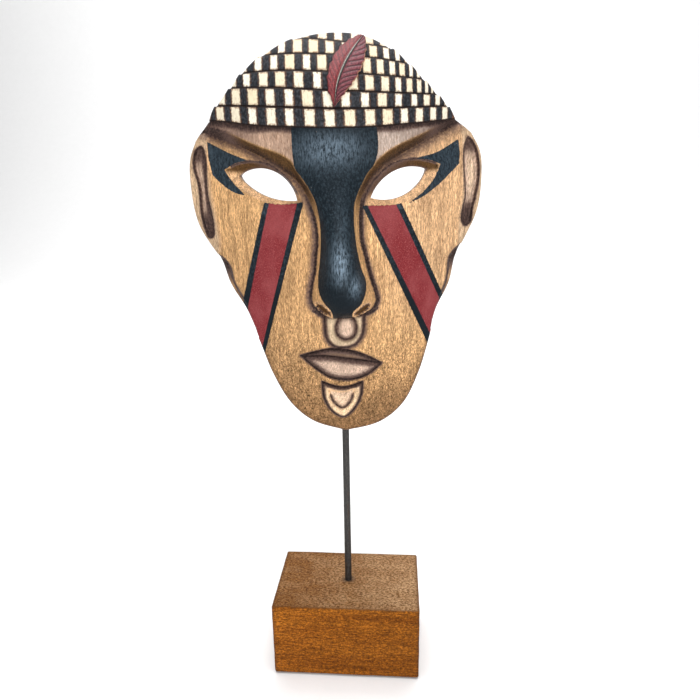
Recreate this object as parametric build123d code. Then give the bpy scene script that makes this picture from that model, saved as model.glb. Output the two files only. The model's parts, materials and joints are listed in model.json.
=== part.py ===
"""Carved wooden mask held up by an iron rod in a wooden block.

Frame: millimetres, +Z up, the mask looks towards -Y. The origin is on the rod's axis, on the surface that
the stand rests on. The mask is drawn in its own frame (x to the viewer's right, y backwards, z up from the
chin) and then leaned, turned and lifted onto the rod.
"""

from build123d import *
import math
import os

# Stand
BLOCK_WIDTH = 100.0
BLOCK_DEPTH = 65.5
BLOCK_HEIGHT = 54.0
BLOCK_EDGE_RADIUS = 1.5
BLOCK_HOLE_DEPTH = 40.0
FELT_THICKNESS = 1.0
FELT_INSET = 2.0
FELT_CORNER_RADIUS = 2.0

# Rod and its holes
ROD_DIAMETER = 4.76
ROD_CHAMFER = 0.4
ROD_IN_VIEW = 119.0
HOLE_CLEARANCE = 0.05
CHIN_HOLE_DEPTH = 38.0
MOUTH_ALLOWANCE = 10.0

# Mask
MASK_HEIGHT = 237.9
MASK_BACK = 16.0
MASK_TURN = 5.0
MASK_LEAN = -1.5
WALL = 12.0
HOLLOW_FLOOR = 52.0
HOLLOW_TOP = MASK_HEIGHT - 15.0
CAP_THICKNESS = 2.5
CAP_MIDDLE = 185.0
CAP_ENDS = 189.0
CAP_HALF_WIDTH = 71.0
CAP_RAMP = 6.0
FEATHER_THICKNESS = 3.0

BLOCK_TOP = FELT_THICKNESS + BLOCK_HEIGHT
CHIN_HEIGHT = BLOCK_TOP + ROD_IN_VIEW
FRONT_REACH = 90.0

# Grid of points that the carved surfaces pass near, a little larger than the mask
GRID_STEP = 4.0
GRID_TOLERANCE = 0.2
GRID_COLUMNS = 26
GRID_ROWS_BELOW = 3
GRID_ROWS_ABOVE = 64

# Outline of the face and ears, from the middle of the chin up to the cap, as (x, z)
RIGHT_SIDE = [(0.0, 0.0), (24.0, 5.5), (38.0, 17.0), (48.5, 37.5), (55.0, 58.0), (60.5, 78.0), (69.0, 93.0),
              (74.3, 111.5), (80.0, 121.0), (87.4, 134.5), (91.0, 154.0), (89.5, 172.0), (83.5, 182.0)]
LEFT_SIDE = [(0.0, 0.0), (-21.0, 8.5), (-34.0, 21.0), (-44.7, 42.5), (-51.3, 63.5), (-58.0, 82.5),
             (-67.2, 98.3), (-73.0, 115.5), (-78.1, 122.7), (-84.0, 132.5), (-88.0, 157.0), (-86.0, 175.0),
             (-81.5, 183.5)]
EAR_TOP_SLOPE = 0.75
RIGHT_CAP_END = (73.6, 188.4)
LEFT_CAP_END = (-72.4, 192.0)
CAP_OUTLINE = [RIGHT_CAP_END, (67.4, 196.0), (58.4, 204.6), (49.0, 214.4), (36.0, 227.0), (20.0, 235.5),
               (1.5, MASK_HEIGHT), (-17.0, 236.0), (-35.0, 227.9), (-47.0, 219.3), (-58.4, 207.5),
               (-67.5, 199.0), LEFT_CAP_END]

# Corners and the middles of the upper and lower lids, as (x, z)
LEFT_EYE = [(-55.3, 162.5), (-38.5, 166.0), (-21.5, 147.3), (-40.0, 150.6)]
RIGHT_EYE = [(20.6, 147.2), (36.0, 162.0), (54.3, 162.0), (40.5, 147.9)]

# Outline of the feather, tip first, as (x, z)
FEATHER = [(2.3, 195.5), (-1.9, 206.5), (1.5, 218.6), (11.3, 230.5), (20.4, 235.2), (21.0, 223.0),
           (15.2, 208.0)]

# Profiles up the middle of the mask, as (z, value)
FRONT_PROFILE = [(-12.0, -8.0), (0.0, -11.0), (12.0, -16.0), (30.0, -20.0), (60.0, -24.0), (120.0, -28.0),
                 (185.0, -30.0), (200.0, -29.0), (214.0, -24.5), (226.0, -16.5), (MASK_HEIGHT, -4.0),
                 (260.0, 20.0)]
CURVE_RADIUS = [(-12.0, 95.0), (60.0, 115.0), (120.0, 120.0), (185.0, 112.0), (260.0, 106.0)]
NOSE_MIDDLE = 2.0
NOSE_RISE = [(-12.0, 0.0), (70.0, 0.0), (80.0, 10.0), (90.0, 19.0), (98.0, 19.0), (108.0, 18.2),
             (120.0, 16.3), (135.0, 13.0), (150.0, 8.0), (165.0, 3.0), (175.0, 1.2), (190.0, 0.0), (260.0, 0.0)]
NOSE_HALF_WIDTH = [(-12.0, 14.0), (70.0, 16.0), (88.0, 20.5), (104.0, 17.5), (124.0, 14.0), (140.0, 14.5),
                   (153.0, 18.5), (175.0, 26.0), (260.0, 26.0)]
BROW_LINE = [(-100.0, 186.0), (-70.0, 186.0), (-24.0, 166.0), (0.0, 172.0), (24.0, 165.5), (69.0, 185.0),
             (100.0, 185.0)]
BROW_STEP = 10.0
SOCKET_DEPTH = 6.0
SOCKET_FADE = 45.0
SOCKET_OUTER_END = 80.0
SOCKET_OUTER_FADE = 20.0
SIDE_SLOPE_LIMIT = 35.0


def along(points, position):
    """Value at a position on a smooth line through (position, value) points."""
    last = len(points) - 2
    index = max(0, min(last, sum(point[0] <= position for point in points) - 1))
    (x0, y0), (x1, y1) = points[index], points[index + 1]
    before = points[max(0, index - 1)]
    after = points[min(len(points) - 1, index + 2)]
    slope_in = (y1 - before[1]) / (x1 - before[0])
    slope_out = (after[1] - y0) / (after[0] - x0)
    t = max(0.0, min(1.0, (position - x0) / (x1 - x0)))
    span = x1 - x0
    return ((2 * t**3 - 3 * t**2 + 1) * y0 + (t**3 - 2 * t**2 + t) * span * slope_in
            + (3 * t**2 - 2 * t**3) * y1 + (t**3 - t**2) * span * slope_out)


def ease(value):
    """Smooth step from 0 at 0 to 1 at 1."""
    value = max(0.0, min(1.0, value))
    return value * value * (3.0 - 2.0 * value)


def shell_depth(x, z):
    """Depth of the plain bowed front, without nose or brow."""
    radius = along(CURVE_RADIUS, z)
    turn = math.radians(SIDE_SLOPE_LIMIT)
    bowed = min(abs(x), radius * math.sin(turn))
    sag = radius - math.sqrt(radius**2 - bowed**2) + (abs(x) - bowed) * math.tan(turn)
    return along(FRONT_PROFILE, z) + sag


def nose_rise(x, z):
    """How far the nose stands out: a rounded ridge with steep sides."""
    across = min(1.0, abs(x - NOSE_MIDDLE) / along(NOSE_HALF_WIDTH, z))
    return max(0.0, along(NOSE_RISE, z)) * (1.0 - across**3) ** 1.5


def socket_drop(x, z):
    """How far the front steps back under the brow, fading down to the cheek."""
    below = along(BROW_LINE, x) - z
    outer_fade = ease((SOCKET_OUTER_END - abs(x)) / SOCKET_OUTER_FADE)
    return SOCKET_DEPTH * outer_fade * ease(below / BROW_STEP) * ease(1.0 - below / SOCKET_FADE)


def cap_rise(x, z):
    """The cap stands proud of the forehead, with a short ramp at its lower edge."""
    edge = CAP_MIDDLE + (CAP_ENDS - CAP_MIDDLE) * (x / CAP_HALF_WIDTH) ** 2
    return CAP_THICKNESS * ease((z - edge) / CAP_RAMP)


def face_depth(x, z):
    """Depth of the carved front."""
    return shell_depth(x, z) + socket_drop(x, z) - nose_rise(x, z) - cap_rise(x, z)


def in_front_of(depth):
    """The space in front of a carved surface."""
    columns = [GRID_STEP * step for step in range(-GRID_COLUMNS, GRID_COLUMNS + 1)]
    rows = [GRID_STEP * step for step in range(-GRID_ROWS_BELOW, GRID_ROWS_ABOVE + 1)]
    grid = [[Vector(x, depth(x, z), z) for x in columns] for z in rows]
    surface = Face.make_surface_from_array_of_points(grid, tol=GRID_TOLERANCE)
    return Solid.extrude(surface, Vector(0, -2 * FRONT_REACH, 0))


def prism(edges, front=-FRONT_REACH, back=MASK_BACK):
    """A straight prism through the mask, from a closed outline drawn in x and z."""
    outline = Face(Wire(edges))
    return Solid.extrude(outline.translate(Vector(0, front, 0)), Vector(0, back - front, 0))


def flat(points):
    """Outline points (x, z) placed in the plane y = 0."""
    return [Vector(x, 0, z) for x, z in points]


def mask_outline():
    """Prism of the whole mask: chin, cheeks, ears and the dome of the cap."""
    right = Spline(flat(RIGHT_SIDE), tangents=[Vector(1, 0, 0), Vector(-EAR_TOP_SLOPE, 0, 1)])
    left = Spline(flat(LEFT_SIDE), tangents=[Vector(-1, 0, 0), Vector(EAR_TOP_SLOPE, 0, 1)])
    right_top = Line(*flat([RIGHT_SIDE[-1], RIGHT_CAP_END]))
    left_top = Line(*flat([LEFT_SIDE[-1], LEFT_CAP_END]))
    return prism([right, right_top, Spline(flat(CAP_OUTLINE)), left_top, left])


def hollow():
    """The hollow at the back: a smaller outline, as deep as leaves a wall of even thickness."""
    right = [(0.0, HOLLOW_FLOOR), (34.0, 62.0), (52.0, 100.0), (61.0, 150.0), (56.0, 186.0), (32.0, 214.0),
             (0.0, HOLLOW_TOP)]
    left = [(-x, z) for x, z in reversed(right)]
    outline = Spline(flat(right + left[1:-1]), periodic=True)
    wall_space = in_front_of(shell_depth).translate(Vector(0, WALL, 0))
    return prism([outline], back=MASK_BACK + MOUTH_ALLOWANCE) - wall_space


def eye_hole(corners):
    """A lens of two arcs, cut straight through from front to back."""
    first, upper, second, lower = flat(corners)
    return prism([ThreePointArc(first, upper, second), ThreePointArc(second, lower, first)])


def place_mask(shape):
    """Lean, turn and lift a shape from the mask's frame onto the rod."""
    return Location((0, 0, CHIN_HEIGHT), (0, 0, MASK_TURN)) * Location((0, 0, 0), (0, MASK_LEAN, 0)) * shape


def upright(radius, bottom, length):
    """A cylinder on the rod's axis, standing on a height."""
    return Pos(0, 0, bottom) * Cylinder(radius, length, align=(Align.CENTER, Align.CENTER, Align.MIN))


def rod_hole(bottom, depth):
    """A blind hole for the rod."""
    return upright(ROD_DIAMETER / 2 + HOLE_CLEARANCE, bottom, depth)


def make_mask(front_space):
    """One carved block: bowed face, nose, brow, cap, eye holes, hollow back and chin hole."""
    carved = mask_outline() - front_space - hollow() - eye_hole(LEFT_EYE) - eye_hole(RIGHT_EYE)
    drilled = rod_hole(CHIN_HEIGHT - MOUTH_ALLOWANCE, CHIN_HOLE_DEPTH + MOUTH_ALLOWANCE)
    return place_mask(carved) - drilled


def make_feather(front_space):
    """Thin feather that lies flat on the front of the cap."""
    outline = prism([Spline(flat(FEATHER), periodic=True)], back=0.0)
    beyond = front_space.translate(Vector(0, -FEATHER_THICKNESS, 0))
    return place_mask((outline & front_space) - beyond)


def make_rod():
    """Straight rod from the bottom of the block's hole to the top of the chin's."""
    bottom = BLOCK_TOP - BLOCK_HOLE_DEPTH
    length = BLOCK_HOLE_DEPTH + ROD_IN_VIEW + CHIN_HOLE_DEPTH
    bar = upright(ROD_DIAMETER / 2, bottom, length)
    return chamfer(bar.edges().filter_by(GeomType.CIRCLE), ROD_CHAMFER)


def make_block():
    """Solid block with eased edges and a blind hole in its top."""
    block = Box(BLOCK_WIDTH, BLOCK_DEPTH, BLOCK_HEIGHT, align=(Align.CENTER, Align.CENTER, Align.MIN))
    block = Pos(0, 0, FELT_THICKNESS) * fillet(block.edges(), BLOCK_EDGE_RADIUS)
    return block - rod_hole(BLOCK_TOP - BLOCK_HOLE_DEPTH, BLOCK_HOLE_DEPTH + MOUTH_ALLOWANCE)


def make_felt():
    """Thin felt sheet under the whole block, set in a little from its edges."""
    width = BLOCK_WIDTH - 2 * FELT_INSET
    depth = BLOCK_DEPTH - 2 * FELT_INSET
    sheet = Box(width, depth, FELT_THICKNESS, align=(Align.CENTER, Align.CENTER, Align.MIN))
    return fillet(sheet.edges().filter_by(Axis.Z), FELT_CORNER_RADIUS)


def main():
    front_space = in_front_of(face_depth)
    parts = {
        "mask_face": make_mask(front_space),
        "feather": make_feather(front_space),
        "support_rod": make_rod(),
        "base_block": make_block(),
        "felt_sheet": make_felt(),
    }

    os.makedirs("parts", exist_ok=True)
    for name, shape in parts.items():
        export_step(shape, f"parts/{name}.step")


main()
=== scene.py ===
"""Carved wooden mask on an iron rod in a wooden block.

The mask is carved in its own frame, in millimetres: x to the viewer's right, y backwards, z up from the chin.
It is then leaned, turned and lifted onto the rod, as in the CAD. Everything that shows is in metres.
"""

import json
import math

import bmesh
import bpy
import numpy as np
from mathutils import Matrix, Vector
from mathutils.geometry import delaunay_2d_cdt
from mathutils.kdtree import KDTree

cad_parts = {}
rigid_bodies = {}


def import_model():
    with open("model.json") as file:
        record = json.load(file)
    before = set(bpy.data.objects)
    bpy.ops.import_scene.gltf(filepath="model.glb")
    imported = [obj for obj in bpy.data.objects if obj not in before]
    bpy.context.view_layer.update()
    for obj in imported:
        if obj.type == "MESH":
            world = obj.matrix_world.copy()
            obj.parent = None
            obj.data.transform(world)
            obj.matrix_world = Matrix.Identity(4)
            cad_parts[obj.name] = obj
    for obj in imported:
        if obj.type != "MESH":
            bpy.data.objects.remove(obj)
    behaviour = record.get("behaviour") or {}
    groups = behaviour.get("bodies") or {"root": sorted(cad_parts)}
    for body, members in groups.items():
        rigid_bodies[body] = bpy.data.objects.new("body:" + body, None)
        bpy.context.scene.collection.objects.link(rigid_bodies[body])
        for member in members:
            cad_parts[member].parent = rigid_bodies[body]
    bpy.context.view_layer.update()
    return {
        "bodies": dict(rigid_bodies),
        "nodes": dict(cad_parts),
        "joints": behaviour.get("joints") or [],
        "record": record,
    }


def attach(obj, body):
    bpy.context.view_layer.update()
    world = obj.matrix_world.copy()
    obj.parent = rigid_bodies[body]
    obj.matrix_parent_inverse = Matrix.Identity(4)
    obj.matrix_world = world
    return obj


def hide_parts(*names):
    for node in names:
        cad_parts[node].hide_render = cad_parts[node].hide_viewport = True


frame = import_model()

MM = 0.001
FAR = 12.0
SIDES = (("left", -1), ("right", 1))

# ---------------------------------------------------------------- stand, mm
FELT_THICKNESS = 1.0
FELT_INSET = 2.0
FELT_CORNER_RADIUS = 2.0
BLOCK_SIZE = Vector((100.0, 65.5, 54.0))
BLOCK_EDGE_RADIUS = 1.5
BLOCK_STEP = 1.0
BLOCK_HOLE_DEPTH = 40.0
ROD_DIAMETER = 4.76
ROD_CHAMFER = 0.4
ROD_RINGS = 130
ROD_IN_VIEW = 119.0
HOLE_CLEARANCE = 0.05
DRILL_EXTRA = 10.0
CHIN_HOLE_DEPTH = 38.0
BLOCK_TOP = FELT_THICKNESS + BLOCK_SIZE.z
CHIN_HEIGHT = BLOCK_TOP + ROD_IN_VIEW

# ---------------------------------------------------------------- mask, mm
MASK_HEIGHT = 237.4
MASK_BACK = 16.0
MASK_TURN = 5.0
MASK_LEAN = -1.5
WALL = 12.0
MESH_STEP = 0.88
BACK_STEP = 2.6
EDGE_ROUNDING = 1.6
OUTLINE_INSET = 0.25
WALL_RINGS = 5

# Outline of the face and ears, from the middle of the chin up, and then of the cap, right to left, as (x, z)
RIGHT_SIDE = [(0, 0), (24, 5.5), (38, 17), (48.5, 37.5), (55, 58), (60.5, 78), (69, 93), (74.3, 111.5),
              (80, 121), (87.4, 134.5), (91, 154), (89.5, 172), (83.5, 182)]
LEFT_SIDE = [(0, 0), (-21, 8.5), (-34, 21), (-44.7, 42.5), (-51.3, 63.5), (-58, 82.5), (-67.2, 98.3),
             (-73, 115.5), (-78.1, 122.7), (-84, 132.5), (-88, 157), (-86, 175), (-81.5, 183.5)]
CAP_OUTLINE = [(73.6, 188.4), (67.4, 196), (58.4, 204.6), (49, 214.2), (36, 226.6), (20, 235),
               (1.5, MASK_HEIGHT), (-17, 235.4), (-35, 227.4), (-47, 219), (-58.4, 207.5), (-67.5, 199),
               (-72.4, 192)]

# Profiles up the middle of the mask, as (z, value)
FRONT_PROFILE = [(-12, -8), (0, -11), (12, -16), (30, -20), (60, -24), (120, -28), (185, -30), (200, -29),
                 (214, -24.5), (226, -16.5), (MASK_HEIGHT, -4), (260, 20)]
CURVE_RADIUS = [(-12, 95), (60, 115), (120, 120), (185, 112), (260, 106)]
SIDE_SLOPE_LIMIT = 35.0

# Groove that parts the forehead and nose from the cheeks, from the ends of the brow down to the nostrils
LEFT_GROOVE = [(-80, 190), (-69.1, 184.7), (-57.8, 180.4), (-47.7, 175.4), (-40.1, 171.4), (-34.4, 167.5),
               (-28.6, 163.7), (-22.4, 159.3), (-17.4, 152.9), (-14.4, 146.5), (-12.2, 140.1), (-10.8, 132.5),
               (-10.6, 124), (-11.9, 115.5), (-13, 107), (-15.1, 98.7), (-16.2, 92.5), (-16, 88.6),
               (-14.1, 85.4), (-11, 83), (-7.6, 80.8), (-5, 79.4)]
RIGHT_GROOVE = [(80, 190), (69.4, 185), (61.4, 181.6), (53.1, 177.3), (45, 173.1), (37.7, 169.5),
                (31.4, 165.9), (26.2, 161.2), (21.6, 156.7), (17.9, 152), (15.4, 147.3), (14, 140),
                (13.7, 132.5), (13.8, 124), (15.6, 115.5), (17.4, 107), (19.6, 98.7), (21.4, 92), (22, 88.6),
                (20.6, 85.2), (17.5, 83), (14.4, 82), (11, 80.4), (8.5, 79.2)]
NOSE_BOTTOM = 79.0
BROW_FOOT = 142.0

# Edge of the brow, and below it the edges of the paint on the nose
LEFT_BROW = [(-82, 193), (-70.7, 189.4), (-57.9, 185.6), (-51.1, 182.6), (-41.4, 177.9), (-33.4, 174.9),
             (-26.6, 171.6), (-22.6, 168.1)]
RIGHT_BROW = [(82, 192), (68, 187.8), (55.3, 182.9), (44.7, 178.5), (34.4, 174.1), (29.3, 171.1), (24.4, 167)]
LEFT_NOSE_PAINT = [(-21.2, 165), (-18, 160.4), (-13.6, 153.3), (-10.8, 147), (-9.2, 139.1), (-8.6, 131),
                   (-9, 122.6), (-10.1, 112.5), (-11.3, 105), (-11.1, 95.6), (-8.6, 90.7), (-4.8, 85.7),
                   (-4, 78)]
RIGHT_NOSE_PAINT = [(22.4, 164.6), (19.4, 161.4), (15.6, 155.2), (12.8, 149.6), (11, 144.6), (10.4, 137.8),
                    (10.6, 129), (11.9, 117.1), (13.9, 107.6), (15.8, 101.9), (15.4, 95.3), (12.4, 89.2),
                    (7.8, 85.1), (7.4, 78)]
FOREHEAD_PAINT = (-21.8, 24.6)

# Middle, half width and height of the nose, as (z, value)
NOSE_MIDDLE = [(76, 3), (85, 3.3), (92, 2.6), (107, 2.2), (124, 1.6), (140, 1), (150, 0.4), (175, 1)]
NOSE_HALF_WIDTH = [(76, 17), (85.5, 18.2), (92, 19.3), (98.7, 18), (107, 15.9), (115.5, 14.4), (124, 12.9),
                   (132.5, 12.9), (140, 13.8), (147, 15.4), (153, 18), (165, 23), (175, 26)]
NOSE_RISE = [(76, 19), (86, 19), (92, 19), (98, 19), (108, 18.2), (120, 16.3), (135, 13), (150, 8), (165, 3),
             (175, 1.2), (190, 0)]
NOSE_TIP = 95.0

# Heights and depths of the relief, mm
CHEEK_DROP = 5.0
CHEEK_FADE = 48.0
GROOVE_DEPTH = 0.9
LID_ROLL = 1.3
BEVEL_DEPTH = 3.6
EAR_DEPTH = 3.4
EAR_SWELLING = 0.8
FACE_RIDGE = 0.6
NOSTRIL_DEPTH = 2.2
NOSTRIL_RIM = 0.5
RING_RISE = 2.6
LOWER_LIP_RISE = 3.4
UPPER_LIP_RISE = 0.9
SHIELD_RISE = 2.2
CAP_RISE = 2.5
TIER_STEP = 1.15
TIER_CUT = 0.45
STRIP_DEPTH = 3.0
TOOL_MARKS = 0.09
STRIP_WIDTH = [(62, 0), (84, 1.9), (100, 3.1), (113, 3.2), (117.5, 0)]

# Eye holes: corner, middle of the upper lid, corner, middle of the lower lid
EYES = {"left": [(-55.3, 162.5), (-38.5, 165.7), (-21.5, 147.3), (-40, 150.6)],
        "right": [(20.6, 147.2), (36, 162), (54.3, 162), (40.5, 147.9)]}
UPPER_BEVEL = {"left": [(-63.8, 166.3), (-54.6, 169.6), (-45.8, 170.1), (-37, 168), (-29.6, 163),
                        (-22.8, 155.4), (-18.6, 146.4)],
               "right": [(62.6, 164.4), (54.1, 166.8), (46.8, 167.8), (34.7, 165.9), (26, 160), (19.6, 152.4),
                         (15.8, 143.2)]}
LOWER_BEVEL = {"left": [(-18.6, 146.4), (-29.9, 145.4), (-40, 147.1), (-51.3, 152.4), (-59.6, 159.9),
                        (-63.8, 166.3)],
               "right": [(15.8, 143.2), (24.4, 142.6), (34.3, 142.9), (46, 145.4), (54, 151.3), (60.2, 159),
                         (62.6, 164.4)]}

# Painted wedge at the outer corner of each eye: along the brow, then under the eye, then back along the ear
EYE_WEDGE = {"left": [[(-73.1, 182.5), (-61, 176), (-47.6, 170.3)],
                      [(-47.6, 170.3), (-55, 170), (-63.8, 166.3)],
                      [(-63.8, 166.3), (-59.5, 160.1), (-51.3, 151.3)],
                      [(-51.3, 151.3), (-56.4, 152.5), (-66.4, 158.6), (-71.8, 163.8)],
                      [(-71.8, 163.8), (-73.3, 174.5), (-73.1, 182.5)]],
             "right": [[(74.3, 178.2), (61, 171.3), (46.8, 167.9)],
                       [(46.8, 167.9), (56.8, 166.6), (62.6, 164.4)],
                       [(62.6, 164.4), (57.4, 155.4), (41.6, 142.6)],
                       [(41.6, 142.6), (50.8, 146.4), (61.4, 153), (74.7, 164.1)],
                       [(74.7, 164.1), (75, 171), (74.3, 178.2)]]}

# Corners of the stripes down the cheeks, first down the left edge and then up the right: border, then red
STRIPE_BORDER = {"left": [(-40.6, 147), (-62, 80), (-53.2, 40), (-17.6, 146.6)],
                 "right": [(15.4, 143.4), (58.5, 46.5), (70, 74), (38.2, 143.6)]}
STRIPE_RED = {"left": [(-37.6, 147), (-59, 76), (-53, 48.7), (-21.3, 146.2)],
              "right": [(18.4, 143.4), (60, 53.5), (67.5, 72), (34.9, 143.2)]}

# Scoop in each ear, its side towards the face as (z, distance from the middle), and the edge of the face
EAR_SCOOP = {"left": [(-77.4, 180.1), (-75.3, 174), (-75.8, 163), (-76.1, 151.5), (-74.8, 143), (-74, 134.3),
                      (-75.6, 127.5), (-77.8, 127), (-80.2, 131.8), (-81.6, 139.3), (-81.8, 158.9),
                      (-83.8, 168.6), (-83.2, 174.5), (-80.6, 179)],
             "right": [(80.6, 179.2), (78.3, 174), (77.8, 164.2), (78.8, 152), (79, 145.3), (77.2, 138),
                       (76.6, 131), (79.2, 127.6), (82.4, 129.4), (84.2, 137.2), (86.4, 145), (88.5, 155),
                       (88.2, 166), (85.6, 174.5)]}
SCOOP_INNER_SIDE = [(127, 75.6), (143, 76.5), (160, 76.6), (180, 77)]
FACE_SIDE = {"left": [(-72.5, 190), (-72.6, 182), (-73.9, 172), (-73.9, 162), (-73.4, 151), (-71.8, 140),
                      (-70.6, 126), (-72, 113)],
             "right": [(74, 188), (75.4, 180), (76.2, 170), (76.2, 158), (76.6, 147), (74.6, 135),
                       (73.6, 120), (73.4, 110)]}

# Nostrils as centre, length, width and tilt; then the ring below the nose, the mouth and the chin shield
NOSTRILS = {"left": ((-9.4, 85.8), 10.5, 4.2, -36), "right": ((13, 85), 10.5, 4.2, 30)}
RING_OUTER = [(-9.3, 81), (-9.4, 72), (-8.2, 65), (-4.4, 61), (1.9, 59.8), (9, 61.8), (13, 67.5), (14.3, 74),
              (14.4, 81)]
RING_INNER = [(0.4, 80.4), (-1.8, 76.8), (-2.9, 72.4), (-1.7, 68), (3, 65.2), (7.8, 67.2), (9.6, 72),
              (8.7, 76.6), (6.6, 80.4)]
UPPER_LIP = [(-25.2, 55), (-17.4, 57.2), (-6.2, 59.2), (6.8, 57), (16.7, 52.6), (24, 48)]
LOWER_LIP = [(24, 48), (16.4, 41.9), (8.1, 39), (-0.1, 38.8), (-8.1, 40.8), (-16, 46.4), (-25.2, 55)]
LIP_LINE = [(-25.2, 55), (-22, 54.8), (-10.3, 55), (2.5, 53), (16.7, 50), (24, 48)]
SHIELD_TOP = [(-13, 37.6), (-7, 35), (-1, 33.6), (5, 34.2), (12, 36.6)]
SHIELD_SIDES = [(12, 36.6), (11, 27.6), (6.6, 18.4), (-1, 12), (-8.2, 17), (-12.2, 25.4), (-13, 37.6)]
SHIELD_INNER_SIDES = [(-8.8, 32.4), (-7.6, 25.6), (-4.6, 21), (-1.2, 19.2), (2.4, 21.2), (5.2, 26),
                      (6.6, 32.6)]
SHIELD_INNER_TOP = [(6.6, 32.6), (3, 31.2), (-1, 30.6), (-5, 31.2), (-8.8, 32.4)]

# Lower edge of each row of the cap, as (x, z), and where the tiles of the lowest row end on either side
CAP_LINES = [[(-76, 194.4), (-60, 192), (-45, 189), (-21.6, 186.5), (0, 185), (24.3, 185), (43.5, 186.2),
              (76, 189.4)],
             [(-70, 201.6), (-28.6, 197.2), (0.5, 194.9), (40, 194.6), (70, 196)],
             [(-64, 210.6), (-28, 207), (-3.4, 204.5), (30, 202.4), (64, 201.7)],
             [(-58, 216.8), (-34, 216.5), (-3, 214.2), (30, 211.2), (58, 209.4)],
             [(-46, 225.8), (-25, 225.5), (-2.6, 223.8), (21.7, 221.4), (53, 216.4)],
             [(-34, 235), (-14, 234.4), (1, 232), (38, 226.4)]]
CAP_ROWS = len(CAP_LINES)
TOP_ROW_HEIGHT = 9.0
CAP_ENDS = (-65.5, 68.5)

# Tiles of each row, from the lowest up: middle and radius of the bow (mm), place of one cream tile and
# spacing between cream tiles (degrees)
TILE_ROWS = [(-10, 96, -33.0, 6.48), (-10, 88, -35.2, 6.8), (-16, 76, -29.9, 7.47), (-30, 88, -5.65, 5.87),
             (-30, 88, -3.1, 5.97), (-24, 80, 1.2, 6.99)]

# Hollow at the back: its right half, as (x, z), and the gouge marks in it
HOLLOW = [(0, 52), (34, 62), (52, 100), (61, 150), (56, 186), (32, 214), (0, 222.9)]
HOLLOW_SLOPE = 9.0
GOUGE_WIDTH = 9.0
GOUGE_DEPTH = 0.55

# Feather: the middle vein from the tip up, and the half widths on either side of it
FEATHER_VEIN = [(2.3, 195.5), (4.2, 206.5), (8.4, 217), (13.6, 225.6), (20.2, 234.8)]
FEATHER_LEFT = [(0, 0), (0.12, 3), (0.3, 6), (0.5, 7.2), (0.7, 6.6), (0.87, 4.2), (0.97, 1.6), (1, 0)]
FEATHER_RIGHT = [(0, 0), (0.12, 3.4), (0.3, 7.3), (0.5, 9), (0.7, 8.2), (0.87, 5), (0.97, 1.8), (1, 0)]
FEATHER_THICKNESS = 2.7
FEATHER_SUNK = 0.5
FEATHER_BARBS = 13
FEATHER_ROWS = 150
FEATHER_COLUMNS = 44

# ---------------------------------------------------------------- studio
# Camera: place in mm, yaw, pitch and roll in degrees, lens in mm
CAMERA_PLACE = (33.24, -383.8, 332.3)
CAMERA_TURN = (4.3894, -15.4615, -0.9207)
SENSOR_WIDTH = 36.0
FOCAL_LENGTH = 31.80

# Lights: name, place and target in m, size in m, power in W
MIDDLE = (0.0, 0.0, 0.25)
LIGHTS = [("key", (0.22, -1.3, 0.46), MIDDLE, 0.4, 10.0),
          ("top", (0.05, -0.25, 1.7), MIDDLE, 1.4, 26.0),
          ("backdrop", (0.0, 0.6, 2.0), (0.0, 2.8, 0.9), 1.5, 60.0)]
ROOM_BRIGHTNESS = 0.3

# Floor, m
FLOOR_REACH = 5.0
SWEEP_START = 1.6
SWEEP_RADIUS = 1.2
BACKDROP_HEIGHT = 4.0

# ---------------------------------------------------------------- colours, linear
TAN = (0.64, 0.375, 0.172)
# Painted light: the paler right of the face, highlights on ridges, rims and the lower eye bevels
HIGHLIGHT_TAN = (0.71, 0.44, 0.245)
CHIN_BROWN = (0.185, 0.095, 0.040)
FOREHEAD = (0.43, 0.285, 0.205)
PALE_FOREHEAD = (0.46, 0.36, 0.30)
EAR_RIM = (0.62, 0.43, 0.27)
EAR_MIDDLE = (0.52, 0.365, 0.275)
EAR_STREAK = (0.72, 0.52, 0.36)
# Olive-brown glaze, dark as painted shade: in the cove, on the upper bevels and in the nostrils
COVE_GLAZE_AND_SHADE = (0.070, 0.034, 0.010)
RING_CREAM = (0.67, 0.505, 0.33)
DISC_PINK = (0.77, 0.55, 0.41)
SHIELD_CREAM = (0.82, 0.57, 0.35)
LOWER_LIP_PINK = (0.67, 0.48, 0.365)
UPPER_LIP_SHADED_BROWN = (0.155, 0.105, 0.08)
UPPER_LIP_HIGHLIGHT = (0.23, 0.15, 0.10)
BARE_WOOD = (0.40, 0.225, 0.10)
# Colours of scorching, also used for painted shade
SCORCH_AND_SHADE = (0.130, 0.080, 0.066)
DEEP_SCORCH_AND_SHADE = (0.026, 0.017, 0.016)
BLACK_PAINT = (0.007, 0.011, 0.015)
DUSTY_BLACK = (0.031, 0.046, 0.058)
HIGHLIGHT_BLACK = (0.26, 0.35, 0.44)
RED_PAINT = (0.235, 0.030, 0.032)
DEEP_RED = (0.150, 0.016, 0.022)
FADED_RED = (0.33, 0.085, 0.088)
CREAM_PAINT = (0.88, 0.84, 0.70)
AGED_CREAM = (0.80, 0.69, 0.48)
TILE_BLACK = (0.016, 0.017, 0.02)
DUSTY_TILE = (0.07, 0.074, 0.085)
SMUDGE_BROWN = (0.26, 0.13, 0.07)
TILE_EDGE_BROWN = (0.17, 0.08, 0.045)
CUT_BLACK = (0.014, 0.008, 0.007)
PORE_BROWN = (0.17, 0.075, 0.03)
CHIPPED_TAN = (0.33, 0.25, 0.18)
CRIMSON = ((0.085, 0.008, 0.012), (0.30, 0.055, 0.058))
DARK_CRIMSON = ((0.065, 0.010, 0.017), (0.24, 0.062, 0.076))
BARB_SHADOW = (0.05, 0.012, 0.016)
VEIN_BLACK = (0.022, 0.028, 0.026)
VEIN_SHINE = (0.42, 0.38, 0.33)
FEATHER_EDGES = ((0.02, 0.015, 0.015), (0.5, 0.26, 0.15))
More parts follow.
